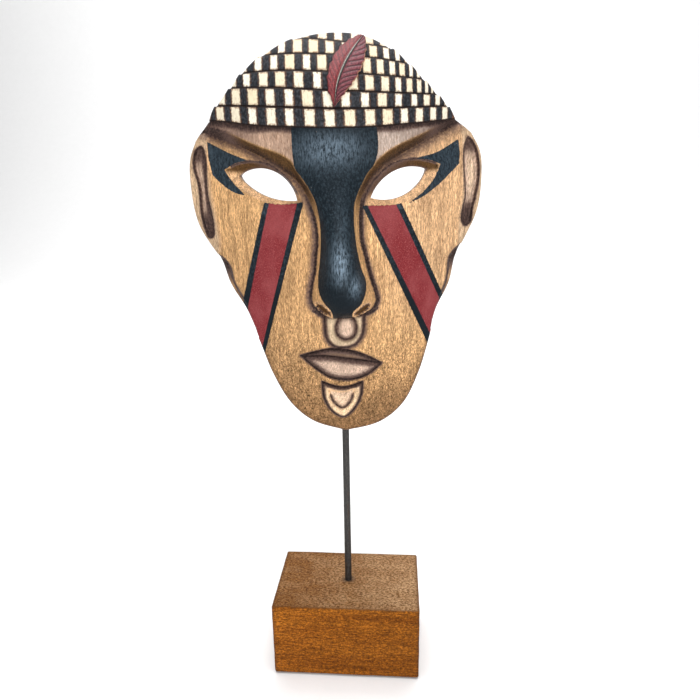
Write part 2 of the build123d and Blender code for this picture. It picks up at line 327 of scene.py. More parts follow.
BLOCK_ORANGE = ((0.175, 0.052, 0.005), (0.27, 0.088, 0.009))
BLOCK_STREAK = (0.07, 0.017, 0.002)
BLOCK_PORE = (0.05, 0.013, 0.002)
DARK_TOP = ((0.062, 0.021, 0.004), (0.125, 0.058, 0.02))
DUSTY_TOP = ((0.30, 0.135, 0.043), (0.56, 0.345, 0.18))
WORN_EDGE = (0.06, 0.022, 0.008)
ROD_SMUDGE = (0.06, 0.045, 0.035)
IRON = ((0.035, 0.034, 0.034), (0.085, 0.08, 0.075))
RUST = (0.09, 0.045, 0.022)
FELT = ((0.018, 0.02, 0.018), (0.05, 0.053, 0.048))
PAPER = ((0.86, 0.86, 0.86), (0.9, 0.9, 0.9))


# ================================================================ lines and distances

def along(points, position):
    """Values at some positions on a smooth line through (position, value) points."""
    places, values = np.array(points, float).T
    position = np.clip(np.asarray(position, float), places[0], places[-1])
    slopes = np.gradient(values, places)
    start = np.clip(np.searchsorted(places, position, side="right") - 1, 0, len(places) - 2)
    span = places[start + 1] - places[start]
    t = (position - places[start]) / span
    return ((2 * t**3 - 3 * t**2 + 1) * values[start] + (t**3 - 2 * t**2 + t) * span * slopes[start]
            + (3 * t**2 - 2 * t**3) * values[start + 1] + (t**3 - t**2) * span * slopes[start + 1])


def ease(value):
    """Smooth step from 0 at 0 to 1 at 1."""
    value = np.clip(value, 0.0, 1.0)
    return value * value * (3.0 - 2.0 * value)


def bump(value):
    """Smooth hump: 1 at 0, fading to nothing by about 2."""
    return np.exp(-np.square(value))


def curve(points, closed=False, spacing=1.0):
    """Evenly spaced points on a smooth line through the given ones."""
    points = np.array(points, float)
    if closed:
        points = np.vstack([points, points[:1]])
    chords = np.linalg.norm(np.diff(points, axis=0), axis=1)
    reached = np.concatenate([[0.0], np.cumsum(chords)])
    count = max(2, round(reached[-1] / spacing))
    places = np.linspace(0.0, reached[-1], count + 1)
    if closed:
        before = reached[:-1] - reached[-1]
        after = reached[1:] + reached[-1]
        reached = np.concatenate([before, reached, after])
        points = np.vstack([points[:-1], points, points[1:]])
    axes = [along(np.column_stack([reached, points[:, axis]]), places) for axis in (0, 1)]
    line = np.column_stack(axes)
    return line[:-1] if closed else line


def arc(first, middle, last, spacing=0.6):
    """Points on the circle through three points, from the first to the last."""
    a, b, c = (complex(*point) for point in (first, middle, last))
    turned = (c - a) / (b - a)
    centre = a + (b - a) * (turned - abs(turned) ** 2) / (2j * turned.imag)
    start = np.angle(a - centre)
    sweep = np.angle((c - centre) / (a - centre))
    middle_sweep = np.angle((b - centre) / (a - centre))
    if middle_sweep * sweep < 0:
        sweep -= math.copysign(2 * math.pi, sweep)
    radius = abs(a - centre)
    count = max(2, round(abs(sweep) * radius / spacing))
    angles = start + sweep * np.arange(count) / count
    return np.column_stack([centre.real + radius * np.cos(angles), centre.imag + radius * np.sin(angles)])


def ellipse(centre, length, width, tilt, spacing=0.6):
    """Points round a tilted ellipse."""
    count = round(math.pi * length / spacing)
    angles = 2 * math.pi * np.arange(count) / count
    lean = math.radians(tilt)
    u = length / 2 * np.cos(angles)
    v = width / 2 * np.sin(angles)
    return np.column_stack([centre[0] + u * math.cos(lean) - v * math.sin(lean),
                            centre[1] + u * math.sin(lean) + v * math.cos(lean)])


def joined(*lines):
    """One closed line from several open ones, each starting where the last ended."""
    return np.vstack([line[:-1] for line in lines])


def distance(places, line, reach=FAR):
    """How far each place is from an open line, and no more than reach."""
    found = np.full(len(places), reach)
    near = np.all((places > line.min(axis=0) - reach) & (places < line.max(axis=0) + reach), axis=1)
    spots = places[near]
    best = np.full(len(spots), reach)
    for start, end in zip(line[:-1], line[1:]):
        step = end - start
        offset = spots - start
        t = np.clip(offset @ step / (step @ step), 0.0, 1.0)
        best = np.minimum(best, np.hypot(offset[:, 0] - t * step[0], offset[:, 1] - t * step[1]))
    found[near] = best
    return found


def inside(places, loop):
    """True for the places within a closed line."""
    x, z = places.T
    result = np.zeros(len(places), bool)
    for (x0, z0), (x1, z1) in zip(loop, np.roll(loop, -1, axis=0)):
        if z0 != z1:
            level = (z0 > z) != (z1 > z)
            result ^= level & (x < x0 + (z - z0) * (x1 - x0) / (z1 - z0))
    return result


def depth_in(places, loop, reach=FAR):
    """Distance from a closed line: positive inside it, negative outside."""
    away = distance(places, np.vstack([loop, loop[:1]]), reach)
    return np.where(inside(places, loop), away, -away)


def normals(loop):
    """Unit outward directions at the points of a closed line that runs anticlockwise."""
    ahead = np.roll(loop, -1, axis=0) - np.roll(loop, 1, axis=0)
    outward = np.column_stack([ahead[:, 1], -ahead[:, 0]])
    return outward / np.linalg.norm(outward, axis=1, keepdims=True)


def both_sides(line, gap=0.22):
    """Two lines just either side of an open one, where the carving steps."""
    ahead = np.gradient(line, axis=0)
    across = np.column_stack([ahead[:, 1], -ahead[:, 0]])
    across *= gap / np.linalg.norm(across, axis=1, keepdims=True)
    return np.vstack([line + across, line - across])


# ================================================================ outlines of the mask

def row_position(x, z):
    """Place up the cap, counted in rows from its lower edge."""
    levels = [along(line, x) for line in CAP_LINES]
    levels.append(levels[-1] + TOP_ROW_HEIGHT)
    return sum(np.clip((z - low) / (high - low), 0.0, 1.0) for low, high in zip(levels[:-1], levels[1:]))


def mask_outline():
    """Anticlockwise outline of the whole mask, with the rows of the cap as small steps."""
    right = curve(RIGHT_SIDE, spacing=0.8)
    left = curve(LEFT_SIDE, spacing=0.8)[::-1]
    cap = curve(CAP_OUTLINE, spacing=0.7)
    position = row_position(*cap.T)
    share = position - np.floor(position)
    steps = (TIER_STEP * (share - 0.5))[:, None] * normals(cap)
    stepped = cap + np.where((position > 0)[:, None], steps, 0.0)
    outline = np.vstack([right[1:], stepped[1:-1], left[:-1]])
    outline -= OUTLINE_INSET * normals(outline)
    return outline


def eye_outline(side):
    """Lens of two arcs."""
    first, upper, second, lower = EYES[side]
    return np.vstack([arc(first, upper, second), arc(second, lower, first)])


def closed_over_the_top(left, right):
    """Region between a left and a right line, which reaches up past the mask."""
    far = MASK_HEIGHT + 2 * FAR
    return np.vstack([left, right[::-1], [(100, far), (-100, far)]])


def straight_sided(corners, spacing=4.0):
    """Closed straight-sided outline, its long sides cut into short ones."""
    pieces = []
    for start, end in zip(corners, corners[1:] + corners[:1]):
        count = max(1, round(math.dist(start, end) / spacing))
        pieces.append(np.linspace(start, end, count, endpoint=False))
    return np.vstack(pieces)


def make_loops():
    """Every carved or painted outline on the front, by name."""
    loops = {"outline": mask_outline()}
    nose_bottom = np.array([(2, NOSE_BOTTOM)])
    loops["middle"] = closed_over_the_top(np.vstack([curve(LEFT_GROOVE), nose_bottom]), curve(RIGHT_GROOVE))
    loops["brow"] = closed_over_the_top(curve(LEFT_BROW + LEFT_NOSE_PAINT),
                                        curve(RIGHT_BROW + RIGHT_NOSE_PAINT))
    left_edge, right_edge = FOREHEAD_PAINT
    loops["band"] = closed_over_the_top(curve([(left_edge, 190), (left_edge, 170)] + LEFT_NOSE_PAINT),
                                        curve([(right_edge, 190), (right_edge, 170)] + RIGHT_NOSE_PAINT))
    for side, _ in SIDES:
        loops[side + " eye"] = eye_outline(side)
        loops[side + " bevel"] = joined(curve(UPPER_BEVEL[side]), curve(LOWER_BEVEL[side]))
        loops[side + " wedge"] = joined(*(curve(line) for line in EYE_WEDGE[side]))
        loops[side + " border"] = straight_sided(STRIPE_BORDER[side])
        loops[side + " red"] = straight_sided(STRIPE_RED[side])
        loops[side + " scoop"] = curve(EAR_SCOOP[side], closed=True)
        loops[side + " nostril"] = ellipse(*NOSTRILS[side])
    loops["ring"] = curve(RING_OUTER)
    loops["disc"] = curve(RING_INNER)
    loops["mouth"] = joined(curve(UPPER_LIP), curve(LOWER_LIP))
    loops["lower lip"] = joined(curve(LIP_LINE), curve(LOWER_LIP))
    loops["shield"] = joined(curve(SHIELD_TOP), curve(SHIELD_SIDES))
    loops["shield middle"] = joined(curve(SHIELD_INNER_SIDES), curve(SHIELD_INNER_TOP))
    return loops


LOOPS = make_loops()


def measure(places):
    """Distances from each place to every outline, positive inside it, and other measures of the place."""
    field = {name: depth_in(places, loop) for name, loop in LOOPS.items()}
    for side, _ in SIDES:
        field[side + " face side"] = distance(places, curve(FACE_SIDE[side]))
    x, z = places.T
    field["above cap edge"] = z - along(CAP_LINES[0], x)
    field["row"] = row_position(x, z)
    return field


# ================================================================ carving

def shell_depth(x, z):
    """Depth of the plain bowed front."""
    radius = along(CURVE_RADIUS, z)
    turn = math.radians(SIDE_SLOPE_LIMIT)
    bowed = np.minimum(np.abs(x), radius * math.sin(turn))
    sag = radius - np.sqrt(radius**2 - bowed**2) + (np.abs(x) - bowed) * math.tan(turn)
    return along(FRONT_PROFILE, z) + sag


def cheek_drop(x, z):
    """How far the cheeks lie behind the forehead, less and less towards the jaw and the ears."""
    brow = np.interp(x, [-70, -24, 0, 24, 69], [186, 166, 172, 166, 185])
    return CHEEK_DROP * ease((80.0 - np.abs(x)) / 16.0) * ease(1.0 - (brow - z) / CHEEK_FADE)


def rounded(depth, width):
    """Quarter-round shoulder: 0 at an edge, 1 from a width inside it."""
    return np.sqrt(1.0 - np.square(1.0 - np.clip(depth / width, 0.0, 1.0)))


def domed(depth, width):
    """Low dome over a small shape: steep at its edge and nearly level a width inside it."""
    return np.sin(math.pi / 2 * np.clip(depth / width, 0.0, 1.0)) ** 0.8


def nose(x, z):
    """Height of the nose: a rounded ridge that ends in a full tip."""
    across = np.clip(np.abs(x - along(NOSE_MIDDLE, z)) / along(NOSE_HALF_WIDTH, z), 0.0, 1.0)
    ridge = along(NOSE_RISE, z) * (1.0 - across**2.6) ** 1.25
    below_tip = np.clip((NOSE_TIP - z) / (NOSE_TIP - NOSE_BOTTOM), 0.0, 1.0)
    return ridge * (1.0 - below_tip**2.3) ** 0.6


def brow_and_nose(x, z, field):
    """Forehead and nose stand in front of the cheeks, with a hollow cove from the brow down to the groove."""
    within = np.clip(field["middle"], 0.0, None)
    beyond = np.clip(-field["brow"], 0.0, None)
    share = np.where(within > 0, within / np.maximum(within + beyond, 1e-6), 0.0)
    height = -cheek_drop(x, z) * (1.0 - share**1.9)
    height += np.where(field["middle"] > 0, nose(x, z), 0.0)
    height -= GROOVE_DEPTH * bump(field["middle"])
    lid = bump((field["middle"] + 3.2) / 1.9) * (field["middle"] < 0) * ease((z - BROW_FOOT) / 10)
    return height + LID_ROLL * lid


def sockets(field):
    """Each eye hole is at the bottom of a bevel."""
    height = 0.0
    for side, _ in SIDES:
        bevel = np.clip(field[side + " bevel"], 0.0, None)
        hole = np.clip(-field[side + " eye"], 0.0, None)
        share = bevel / np.maximum(bevel + hole, 1e-6)
        height = height - BEVEL_DEPTH * share**0.8
    return height


def ears(field):
    """A long scoop in each ear, with a soft swelling along its middle, and a thin ridge beside the face."""
    height = 0.0
    for side, _ in SIDES:
        scoop = np.clip(field[side + " scoop"], 0.0, None)
        height = height - EAR_DEPTH * rounded(scoop, 2.4) + EAR_SWELLING * ease((scoop - 2.2) / 1.6)
        height = height + FACE_RIDGE * bump(field[side + " face side"] / 0.9)
    return height


def nostrils(field):
    """Two slanting holes with thin raised rims."""
    height = 0.0
    for side, _ in SIDES:
        nostril = field[side + " nostril"]
        height = height - NOSTRIL_DEPTH * rounded(nostril, 1.4) + NOSTRIL_RIM * bump((nostril + 0.7) / 0.6)
    return height


def framed_dome(frame_depth, middle_depth, rise, frame_width, middle_width):
    """Raised frame with a low dome in the middle of it."""
    frame = domed(np.minimum(frame_depth, -middle_depth), frame_width)
    return rise * frame + rise * domed(middle_depth, middle_width)


def nose_ring(field):
    """Ring that hangs from the nose, with a disc in it."""
    below_nose = field["middle"] < 0.4
    ring = np.where(below_nose, field["ring"], -FAR)
    disc = np.where(below_nose, field["disc"], -FAR)
    return framed_dome(ring, disc, RING_RISE, 2.9, 5.2) - 0.8 * bump(ring / 0.9) * below_nose


def lips(field):
    """Full lower lip and thin upper lip, with a cut round the mouth and one between them."""
    mouth = field["mouth"]
    lower = np.minimum(field["lower lip"], mouth)
    upper = np.minimum(np.where(lower < 0, mouth, -FAR), -lower)
    height = LOWER_LIP_RISE * domed(lower, 7.5) + UPPER_LIP_RISE * domed(upper, 2.4)
    return height - 1.1 * bump(mouth / 0.8) - 0.7 * bump(lower / 0.7) * (mouth > 0)


def chin_shield(field):
    """Small shield below the mouth."""
    shield = field["shield"]
    return framed_dome(shield, field["shield middle"], SHIELD_RISE, 2.7, 5.5) - 0.9 * bump(shield / 0.7)


def cap(x, z, field):
    """The cap stands proud of the forehead and steps back from row to row, with a cut line under each."""
    row = field["row"]
    share = row - np.floor(row)
    height = CAP_RISE * ease(field["above cap edge"] / 0.4 + 0.5)
    height = height + np.where((row > 0) & (row < CAP_ROWS), TIER_STEP * (share - 0.5), 0.0)
    for line in CAP_LINES[1:]:
        height = height - TIER_CUT * bump((z - along(line, x)) / 0.55)
    return height


def strip_width(z):
    """Width of the lower strip outside the edge of each cheek."""
    return np.clip(along(STRIP_WIDTH, z), 0.0, None)


def relief(places, field):
    """How far the carved front stands out from the plain bowed one."""
    x, z = places.T
    height = brow_and_nose(x, z, field) + sockets(field) + ears(field) + nostrils(field) + nose_ring(field)
    height += lips(field) + chin_shield(field) + cap(x, z, field)
    edge = np.clip(field["outline"], 0.0, None)
    height -= EDGE_ROUNDING * (1.0 - rounded(edge, EDGE_ROUNDING))
    width = strip_width(z)
    height -= np.where(width > 0.3, STRIP_DEPTH * ease((width - edge) / 0.5 + 0.5), 0.0)
    height += TOOL_MARKS * (np.sin(x / 4.3 + z / 17.0) + np.sin(z / 6.1 - x / 9.0 + 2.0))
    return height


def back_depth(places):
    """Back of the mask: a flat rim round a gouged hollow."""
    x, z = places.T
    right = np.array(HOLLOW, float)
    left = right[-2:0:-1] * (-1, 1)
    loop = curve(np.vstack([right, left]), closed=True, spacing=3.0)
    within = depth_in(places, loop, reach=40.0)
    gouges = np.abs(np.sin(math.pi * (x + 3.0 * np.sin(z / 21.0)) / GOUGE_WIDTH))
    gouges = gouges * (0.8 + 0.2 * np.sin(z / 9.0 + x))
    floor = shell_depth(x, z) + WALL + GOUGE_DEPTH * (gouges - 1.0)
    deep = ease(within / HOLLOW_SLOPE)
    return MASK_BACK - np.clip(MASK_BACK - floor, 0.0, None) * deep


# ================================================================ mesh of the mask

def lattice(low, high, step):
    """Places on a triangular lattice that covers a rectangle."""
    rows = np.arange(low[1], high[1], step * math.sqrt(3) / 2)
    columns = np.arange(low[0], high[0], step)
    x, z = np.meshgrid(columns, rows)
    x = x + step / 2 * (np.arange(len(rows)) % 2)[:, None]
    return np.column_stack([x.ravel(), z.ravel()])


def thinned(places, lines, gap):
    """The places that aren't too close to any point of some lines."""
    points = np.vstack(lines)
    tree = KDTree(len(points))
    for index, (x, z) in enumerate(points):
        tree.insert((x, 0.0, z), index)
    tree.balance()
    keep = [tree.find((x, 0.0, z))[2] > gap for x, z in places]
    return places[np.array(keep)]


def is_solid(places, outline, holes):
    """True for the places within an outline and outside its holes."""
    found = inside(places, outline)
    for hole in holes:
        found &= ~inside(places, hole)
    return found


def triangulated(outline, holes, interior):
    """Points and triangles that fill an outline, less its holes, and which given points became which."""
    points = []
    edges = []
    for loop in (outline, *holes):
        first = len(points)
        points += [Vector(point) for point in loop]
        edges += [(first + step, first + (step + 1) % len(loop)) for step in range(len(loop))]
    points += [Vector(point) for point in interior]
    found, _, faces, originals, _, _ = delaunay_2d_cdt(points, edges, [], 0, 1e-4)
    places = np.array([tuple(point) for point in found])
    triangles = np.array(faces)
    middles = places[triangles].mean(axis=1)
    return places, triangles[is_solid(middles, outline, holes)], originals


def carving_lines():
    """Points along the lines where the carved front bends or steps."""
    names = ["middle", "brow", "ring", "disc", "mouth", "lower lip", "shield", "shield middle"]
    names += [side + part for side, _ in SIDES for part in (" bevel", " scoop", " nostril")]
    lines = [LOOPS[name] for name in names]
    for line in CAP_LINES:
        lines.append(both_sides(curve(line, spacing=0.8)))
    outline = LOOPS["outline"]
    strips = outline - strip_width(outline[:, 1])[:, None] * normals(outline)
    lines.append(both_sides(strips[strip_width(outline[:, 1]) > 0.8]))
    return np.vstack(lines)


def away_from_middle(hole):
    """Directions away from the middle of a small closed line."""
    away = hole - hole.mean(axis=0)
    return away / np.linalg.norm(away, axis=1, keepdims=True)


def front_mesh():
    """Places and triangles of the front, close together at the edges and along the carved lines."""
    outline = LOOPS["outline"]
    holes = [LOOPS["left eye"], LOOPS["right eye"]]
    shoulders = [outline - inset * normals(outline) for inset in (0.3, 0.8)]
    shoulders += [hole + 0.35 * away_from_middle(hole) for hole in holes]
    creases = carving_lines()
    wide_holes = [hole + 0.7 * away_from_middle(hole) for hole in holes]
    creases = creases[is_solid(creases, outline - 1.2 * normals(outline), wide_holes)]
    fixed = [outline, *holes, *shoulders, creases]
    grid = lattice(outline.min(axis=0), outline.max(axis=0), MESH_STEP)
    grid = thinned(grid[is_solid(grid, outline, holes)], fixed, 0.55 * MESH_STEP)
    places, triangles, _ = triangulated(outline, holes, np.vstack([*shoulders, creases, grid]))
    return places, triangles


def back_mesh(rims):
    """Places and triangles of the back, and where each point of the rims is among them."""
    outline, *holes = rims
    grid = lattice(outline.min(axis=0), outline.max(axis=0), BACK_STEP)
    grid = thinned(grid[is_solid(grid, outline, holes)], rims, 0.6 * BACK_STEP)
    places, triangles, originals = triangulated(outline, holes, grid)
    found_at = {source: index for index, sources in enumerate(originals) for source in sources}
    rim_points = sum(len(rim) for rim in rims)
    return places, triangles, np.array([found_at[source] for source in range(rim_points)])


def open_edges(triangles):
    """Directed edges that only one triangle has."""
    count = triangles.max() + 1
    starts = triangles.ravel()
    ends = np.roll(triangles, -1, axis=1).ravel()
    keys = starts * count + ends
    opposite = ends * count + starts
    alone = ~np.isin(keys, opposite)
    return np.column_stack([starts[alone], ends[alone]])


def edge_loops(edges):
    """The closed lines that directed edges form, as lists of indices."""
    follows = dict(edges.tolist())
    loops = []
    while follows:
        start, current = follows.popitem()
        loop = [start]
        while current != start:
            loop.append(current)
            current = follows.pop(current)
        loops.append(loop)
    return sorted(loops, key=len, reverse=True)


def quads_between(near, far):
    """Quads between two closed rings of as many points."""
    return np.column_stack([np.roll(near, -1), near, far, np.roll(far, -1)]).tolist()


def make_mask_mesh():
    """Closed mesh of the mask in its own frame, with each vertex's (x, z) and layer.

    The layer is 0 on the front and 1 on the back, and between them on the edges.
    """
    front, front_triangles = front_mesh()
    loops = edge_loops(open_edges(front_triangles))
    back, back_triangles, rim_ends = back_mesh([front[loop] for loop in loops])
    front_y = shell_depth(*front.T) - relief(front, measure(front))
    back_y = back_depth(back)
    places = [front, back]
    depths = [front_y, back_y]
    layers = [np.zeros(len(front)), np.ones(len(back))]
    faces = front_triangles.tolist() + (back_triangles[:, ::-1] + len(front)).tolist()
    total = len(front) + len(back)
    for loop in loops:
        ends, rim_ends = rim_ends[:len(loop)], rim_ends[len(loop):]
        rings = [np.array(loop)]
        for step in range(1, WALL_RINGS):
            share = step / WALL_RINGS
            places.append(front[loop])
            depths.append(front_y[loop] + (back_y[ends] - front_y[loop]) * share)
            layers.append(np.full(len(loop), share))
            rings.append(np.arange(total, total + len(loop)))
            total += len(loop)
        rings.append(ends + len(front))
        for near, far in zip(rings[:-1], rings[1:]):
            faces += quads_between(near, far)
    places = np.vstack(places)
    points = np.column_stack([places[:, 0], np.concatenate(depths), places[:, 1]])
    return points, faces, places, np.concatenate(layers)


# ================================================================ colour of the mask

def face_stain_and_light(x, z, field):
    """Stain and painted light on the cheeks, jaw, forehead and cove under the brow, as (colour, share)."""
    forehead = ease(field["brow"] / 0.8) * ease((z - 150) / 12)
    cove = ease(0.5 - field["brow"] / 1.4) * ease(0.5 + field["middle"] / 2.4) * ease((z - 128) / 28)
    # Painted light: the right side of the face paler, where the light falls
    return [(HIGHLIGHT_TAN, 0.75 * ease((x - 8) / 40) * ease((z - 50) / 60)),
            (CHIN_BROWN, 0.8 * ease((68 - z) / 62)),
            # Painted shade: the left side of the face darker
            (CHIN_BROWN, 0.28 * ease((-x - 8) / 30) * ease((150 - z) / 60)),
            # Painted shade along the lower edges, where they round away
            (CHIN_BROWN, 0.7 * ease(1 - field["outline"] / 6) * (z < 95)),
            (FOREHEAD, forehead),
            (PALE_FOREHEAD, forehead * ease((x - 20) / 8)),
            # Olive-brown glaze in the cove, painted darker as shade under the brow
            (COVE_GLAZE_AND_SHADE, 0.97 * cove),
            (DEEP_SCORCH_AND_SHADE, 0.9 * brow_streak(z, field) * (field["middle"] > 0))]


def side_stain_and_light(side, sign, x, z, field):
    """Stain and painted light on one ear, eye and nostril, as (colour, share)."""
    boundary = along([(height, across) for across, height in reversed(FACE_SIDE[side])], z)
    scoop = field[side + " scoop"]
    ridge = 0.9 * bump(field[side + " face side"] / 0.9) * (z > 118) * (z < 186)
    lid = ease(field[side + " bevel"] / 0.5)
    high = above_eye(x, z)
    nostril = field[side + " nostril"]
    return [(EAR_RIM, ease((sign * (x - boundary)) / 1.5) * (z > 112) * (z < 192)),
            (EAR_MIDDLE, ease(scoop / 1.5)),
            (EAR_STREAK, ease((scoop - 2.2) / 1.4) * bump((z - 157) / 14)),
            # Painted highlight along the ridge beside the face
            (HIGHLIGHT_TAN, ridge),
            # Painted shade on the upper bevel of the eye, painted highlight on the lower
            (COVE_GLAZE_AND_SHADE, 0.97 * lid * high),
            (HIGHLIGHT_TAN, 0.8 * lid * (1 - high)),
            # Painted highlight on the nostril rim, painted shade inside it
            (HIGHLIGHT_TAN, 0.9 * bump((nostril + 0.6) / 0.7)),
            (COVE_GLAZE_AND_SHADE, ease(nostril / 0.5))]


def small_stain_and_light(x, field):
    """Stain and painted light on the nose ring, lips and shield, as (colour, share)."""
    below_nose = field["middle"] < 0.6
    return [(RING_CREAM, ease(field["ring"] / 0.6) * below_nose),
            (DISC_PINK, ease(field["disc"] / 0.6) * below_nose),
            # The upper lip is painted darker as shade, since it faces down, with a painted highlight along it
            (UPPER_LIP_SHADED_BROWN, 0.93 * ease(field["mouth"] / 0.8)),
            (UPPER_LIP_HIGHLIGHT, 0.9 * lip_highlight(x, field)),
            (LOWER_LIP_PINK, ease((field["lower lip"] - 0.6) / 2.4) * (field["mouth"] > 0)),
            (SHIELD_CREAM, ease(field["shield"] / 0.6)),
            (DISC_PINK, 0.6 * ease(field["shield middle"] / 0.8))]


def wood_tint(places, field, layer):
    """Colour of the stained wood at each vertex, with painted shade and highlights, before its grain."""
    x, z = places.T
    stains_and_light = face_stain_and_light(x, z, field)
    for side, sign in SIDES:
        stains_and_light += side_stain_and_light(side, sign, x, z, field)
    stains_and_light += small_stain_and_light(x, field)
    stains_and_light.append((BARE_WOOD, np.where(layer == 1, 1.0, 0.75 * (layer > 0))))
    tint = np.array(TAN)
    for colour, share in stains_and_light:
        tint = tint + (np.array(colour) - tint) * np.clip(share, 0.0, 1.0)[:, None]
    return tint


def above_eye(x, z):
    """Share of the upper lid: 1 above the middle of an eye, 0 below it."""
    return ease((z - along([(-64, 163), (-40, 159), (-18, 148), (18, 146), (40, 156), (64, 159)], x)) / 4)


def up_the_brow(z):
    """0 where the groove runs beside the nose, and 1 where it runs under the brow."""
    return ease((z - BROW_FOOT) / 14)


def brow_streak(z, field):
    """Narrow scorched streak in the cove under the brow."""
    return 0.98 * bump((1.0 - field["middle"]) / 2.1) * up_the_brow(z)


def lip_highlight(x, field):
    """Painted highlight: a paler strip along the middle of the upper lip."""
    above_line = bump((field["lower lip"] + 1.9) / 1.0) * ease(field["mouth"] - 0.9)
    return above_line * bump((x - 4) / 14)


def groove_scorch_and_shade(x, z, field):
    """Scorched groove and painted shade round nose and brow: sharp towards the nose, fading over the cheek.
    """
    outside = -field["middle"]
    is_left = x < 2.0
    under = z < 84.0
    # Below the nose the dark is wider: a painted shadow. The soft fade over the cheek is painted shade.
    core = np.where(under, 2.7, np.where(is_left, 1.0, 1.6))
    fade = np.where(under, 6.5, np.where(is_left, 7.0, 5.5))
    starts = ease((outside + 0.5) / 0.6)
    nose_side = np.maximum(0.94 * ease(1 - (outside - core) / 0.9), 0.68 * ease(1 - outside / fade))
    nose_side = nose_side * starts * (1 - 0.9 * ease(field["ring"] / 0.7))
    reach = np.where(is_left, 4.0, 5.4)
    fading = 0.44 * bump((outside - 1.0) / reach) * ease((outside + 0.9) / 1.6)
    brow_share = up_the_brow(z)
    streak = brow_streak(z, field) * ease((outside + 0.7) / 1.2)
    return np.maximum(nose_side * (1 - brow_share) + fading * brow_share, streak)


def cap_scorch_and_shade(x, z, field):
    """Scorching and painted shade under the cap's edge, deepest at the temples, and along the outer brow."""
    below = -field["above cap edge"]
    reach = 4.0 + 0.03 * np.abs(x) + 1.6 * np.sin(x / 6.3) * np.sin(x / 15.0 + 1.0)
    shade = 0.92 * ease(1.0 - (below - 0.4) / reach) * (below > -0.3)
    stain = 0.34 * ease((np.abs(x) - 34) / 20) * (field["brow"] > 0) * (below > 0)
    far_brow = 0.86 * ease((np.abs(x) - 46) / 22) * (field["middle"] > 0) * (field["brow"] < 1)
    return np.maximum.reduce([shade, stain, far_brow]) * (np.abs(x) < 78)


def side_scorch_and_shade(side, sign, x, z, field):
    """Scorching and painted shade in an ear, round an eye and in a nostril."""
    scoop = field[side + " scoop"]
    within = ease(scoop / 0.8)
    near_face = ease((3.0 - (sign * x - along(SCOOP_INNER_SIDE, z))) / 2.0)
    # Painted shade on the floor of the scoop, at its ends and towards the face
    ends = np.maximum(0.72 * ease((z - 166) / 9), 0.9 * ease((147 - z) / 11))
    outline = bump((scoop - 0.2) / 0.8) * 0.95
    floor = 0.85 * within * np.maximum(ends, 0.9 * near_face)
    halo = 0.22 * bump((scoop + 0.8) / 1.4)
    # Painted shade inside the nostril
    nostril = field[side + " nostril"]
    inside_nostril = 0.85 * ease(1 - nostril / 1.4) * (nostril > 0)
    # Painted shade above the middle of the eye only: on the upper lid and the top of the hole
    high = above_eye(x, z)
    bevel = field[side + " bevel"]
    lid_line = 0.9 * bump((bevel - 0.2) / 0.7) * high * (np.abs(x) < 60)
    lid_halo = 0.3 * bump((bevel + 0.9) / 1.6) * high * ease(0.5 - bevel)
    hole_edge = 0.5 * bump(field[side + " eye"] / 0.6) * high
    return np.maximum.reduce([outline, floor, halo, inside_nostril, lid_line, lid_halo, hole_edge])


def edged(depth, line, strength, inner, outer):
    """Scorched line round a small shape, and painted shade that fades over some mm inside and outside it."""
    fades = np.where(depth > 0, 0.84 * ease(1 - depth / inner), 0.6 * ease(1 + depth / outer))
    return strength * np.maximum(bump(depth / line), fades)


def small_scorch_and_shade(x, z, field):
    """Scorched outlines of the nose ring, lips and shield, with painted shade inside and round them."""
    below_nose = field["middle"] < 0.6
    ring = edged(field["ring"], 0.9, 0.92, 3.5, 4.2) * below_nose
    disc = edged(field["disc"], 0.85, 0.74, 4.4, 3.0) * below_nose * (field["ring"] > 0)
    mouth = edged(field["mouth"], 0.95, 1.0, 6.8, 1.9) * (1 - 0.7 * lip_highlight(x, field))
    lip_line = edged(field["lower lip"], 0.8, 0.95, 5.4, 1.6) * (field["mouth"] > 0)
    shield = edged(field["shield"], 0.85, 1.0, 3.3, 1.8)
    middle = edged(field["shield middle"], 0.7, 0.72, 3.8, 1.9) * ease((31.5 - z) / 4) * (field["shield"] > 0)
    return np.maximum.reduce([ring, disc, mouth, lip_line, shield, middle])


def strip_scorch_and_shade(x, z, field):
    """Scorching and painted shade where each cheek meets its lower strip, and a little along the chin's rim.
    """
    width = strip_width(z)
    has_strip = width > 0.5
    line = bump((field["outline"] - width - 0.2) / 1.15) * has_strip
    strip = (0.2 + 0.68 * ease((z - 97) / 14)) * (field["outline"] < width) * has_strip
    rim = 0.4 * bump(field["outline"] / 1.4) * (z < 84)
    return np.maximum.reduce([line, strip, rim])


def scorch_and_shade_mark(places, field, layer):
    """Share of scorching and painted shade at each vertex."""
    x, z = places.T
    marks = [scorch_and_shade(x, z, field) for scorch_and_shade in (groove_scorch_and_shade, cap_scorch_and_shade, small_scorch_and_shade, strip_scorch_and_shade)]
    marks += [side_scorch_and_shade(side, sign, x, z, field) for side, sign in SIDES]
    return np.where(layer > 0, 0.25 * (layer < 1), np.maximum.reduce(marks))


def black_paint_highlight(x, z):
    """Share of painted highlight on the black paint, on the forehead, nose and wedges beside the eyes."""
    forehead = 0.52 * bump(np.hypot((x + 1) / 17, (z - 174) / 8.5))
    ridge = 0.82 * bump(np.hypot((x - 1.8) / 4.4, (z - 113) / 11)) * ease((z - 97) / 6)
    above_nostril = 0.62 * bump(np.hypot((x - 9.4) / 3.4, (z - 100) / 5.5))
    upper = 0.12 * bump(np.hypot((x - 4) / 3.6, (z - 132) / 16))
    wedges = 0.1 * ease((np.abs(x) - 30) / 6) * (z > 140)
    return np.maximum.reduce([forehead, ridge, above_nostril, upper, wedges])


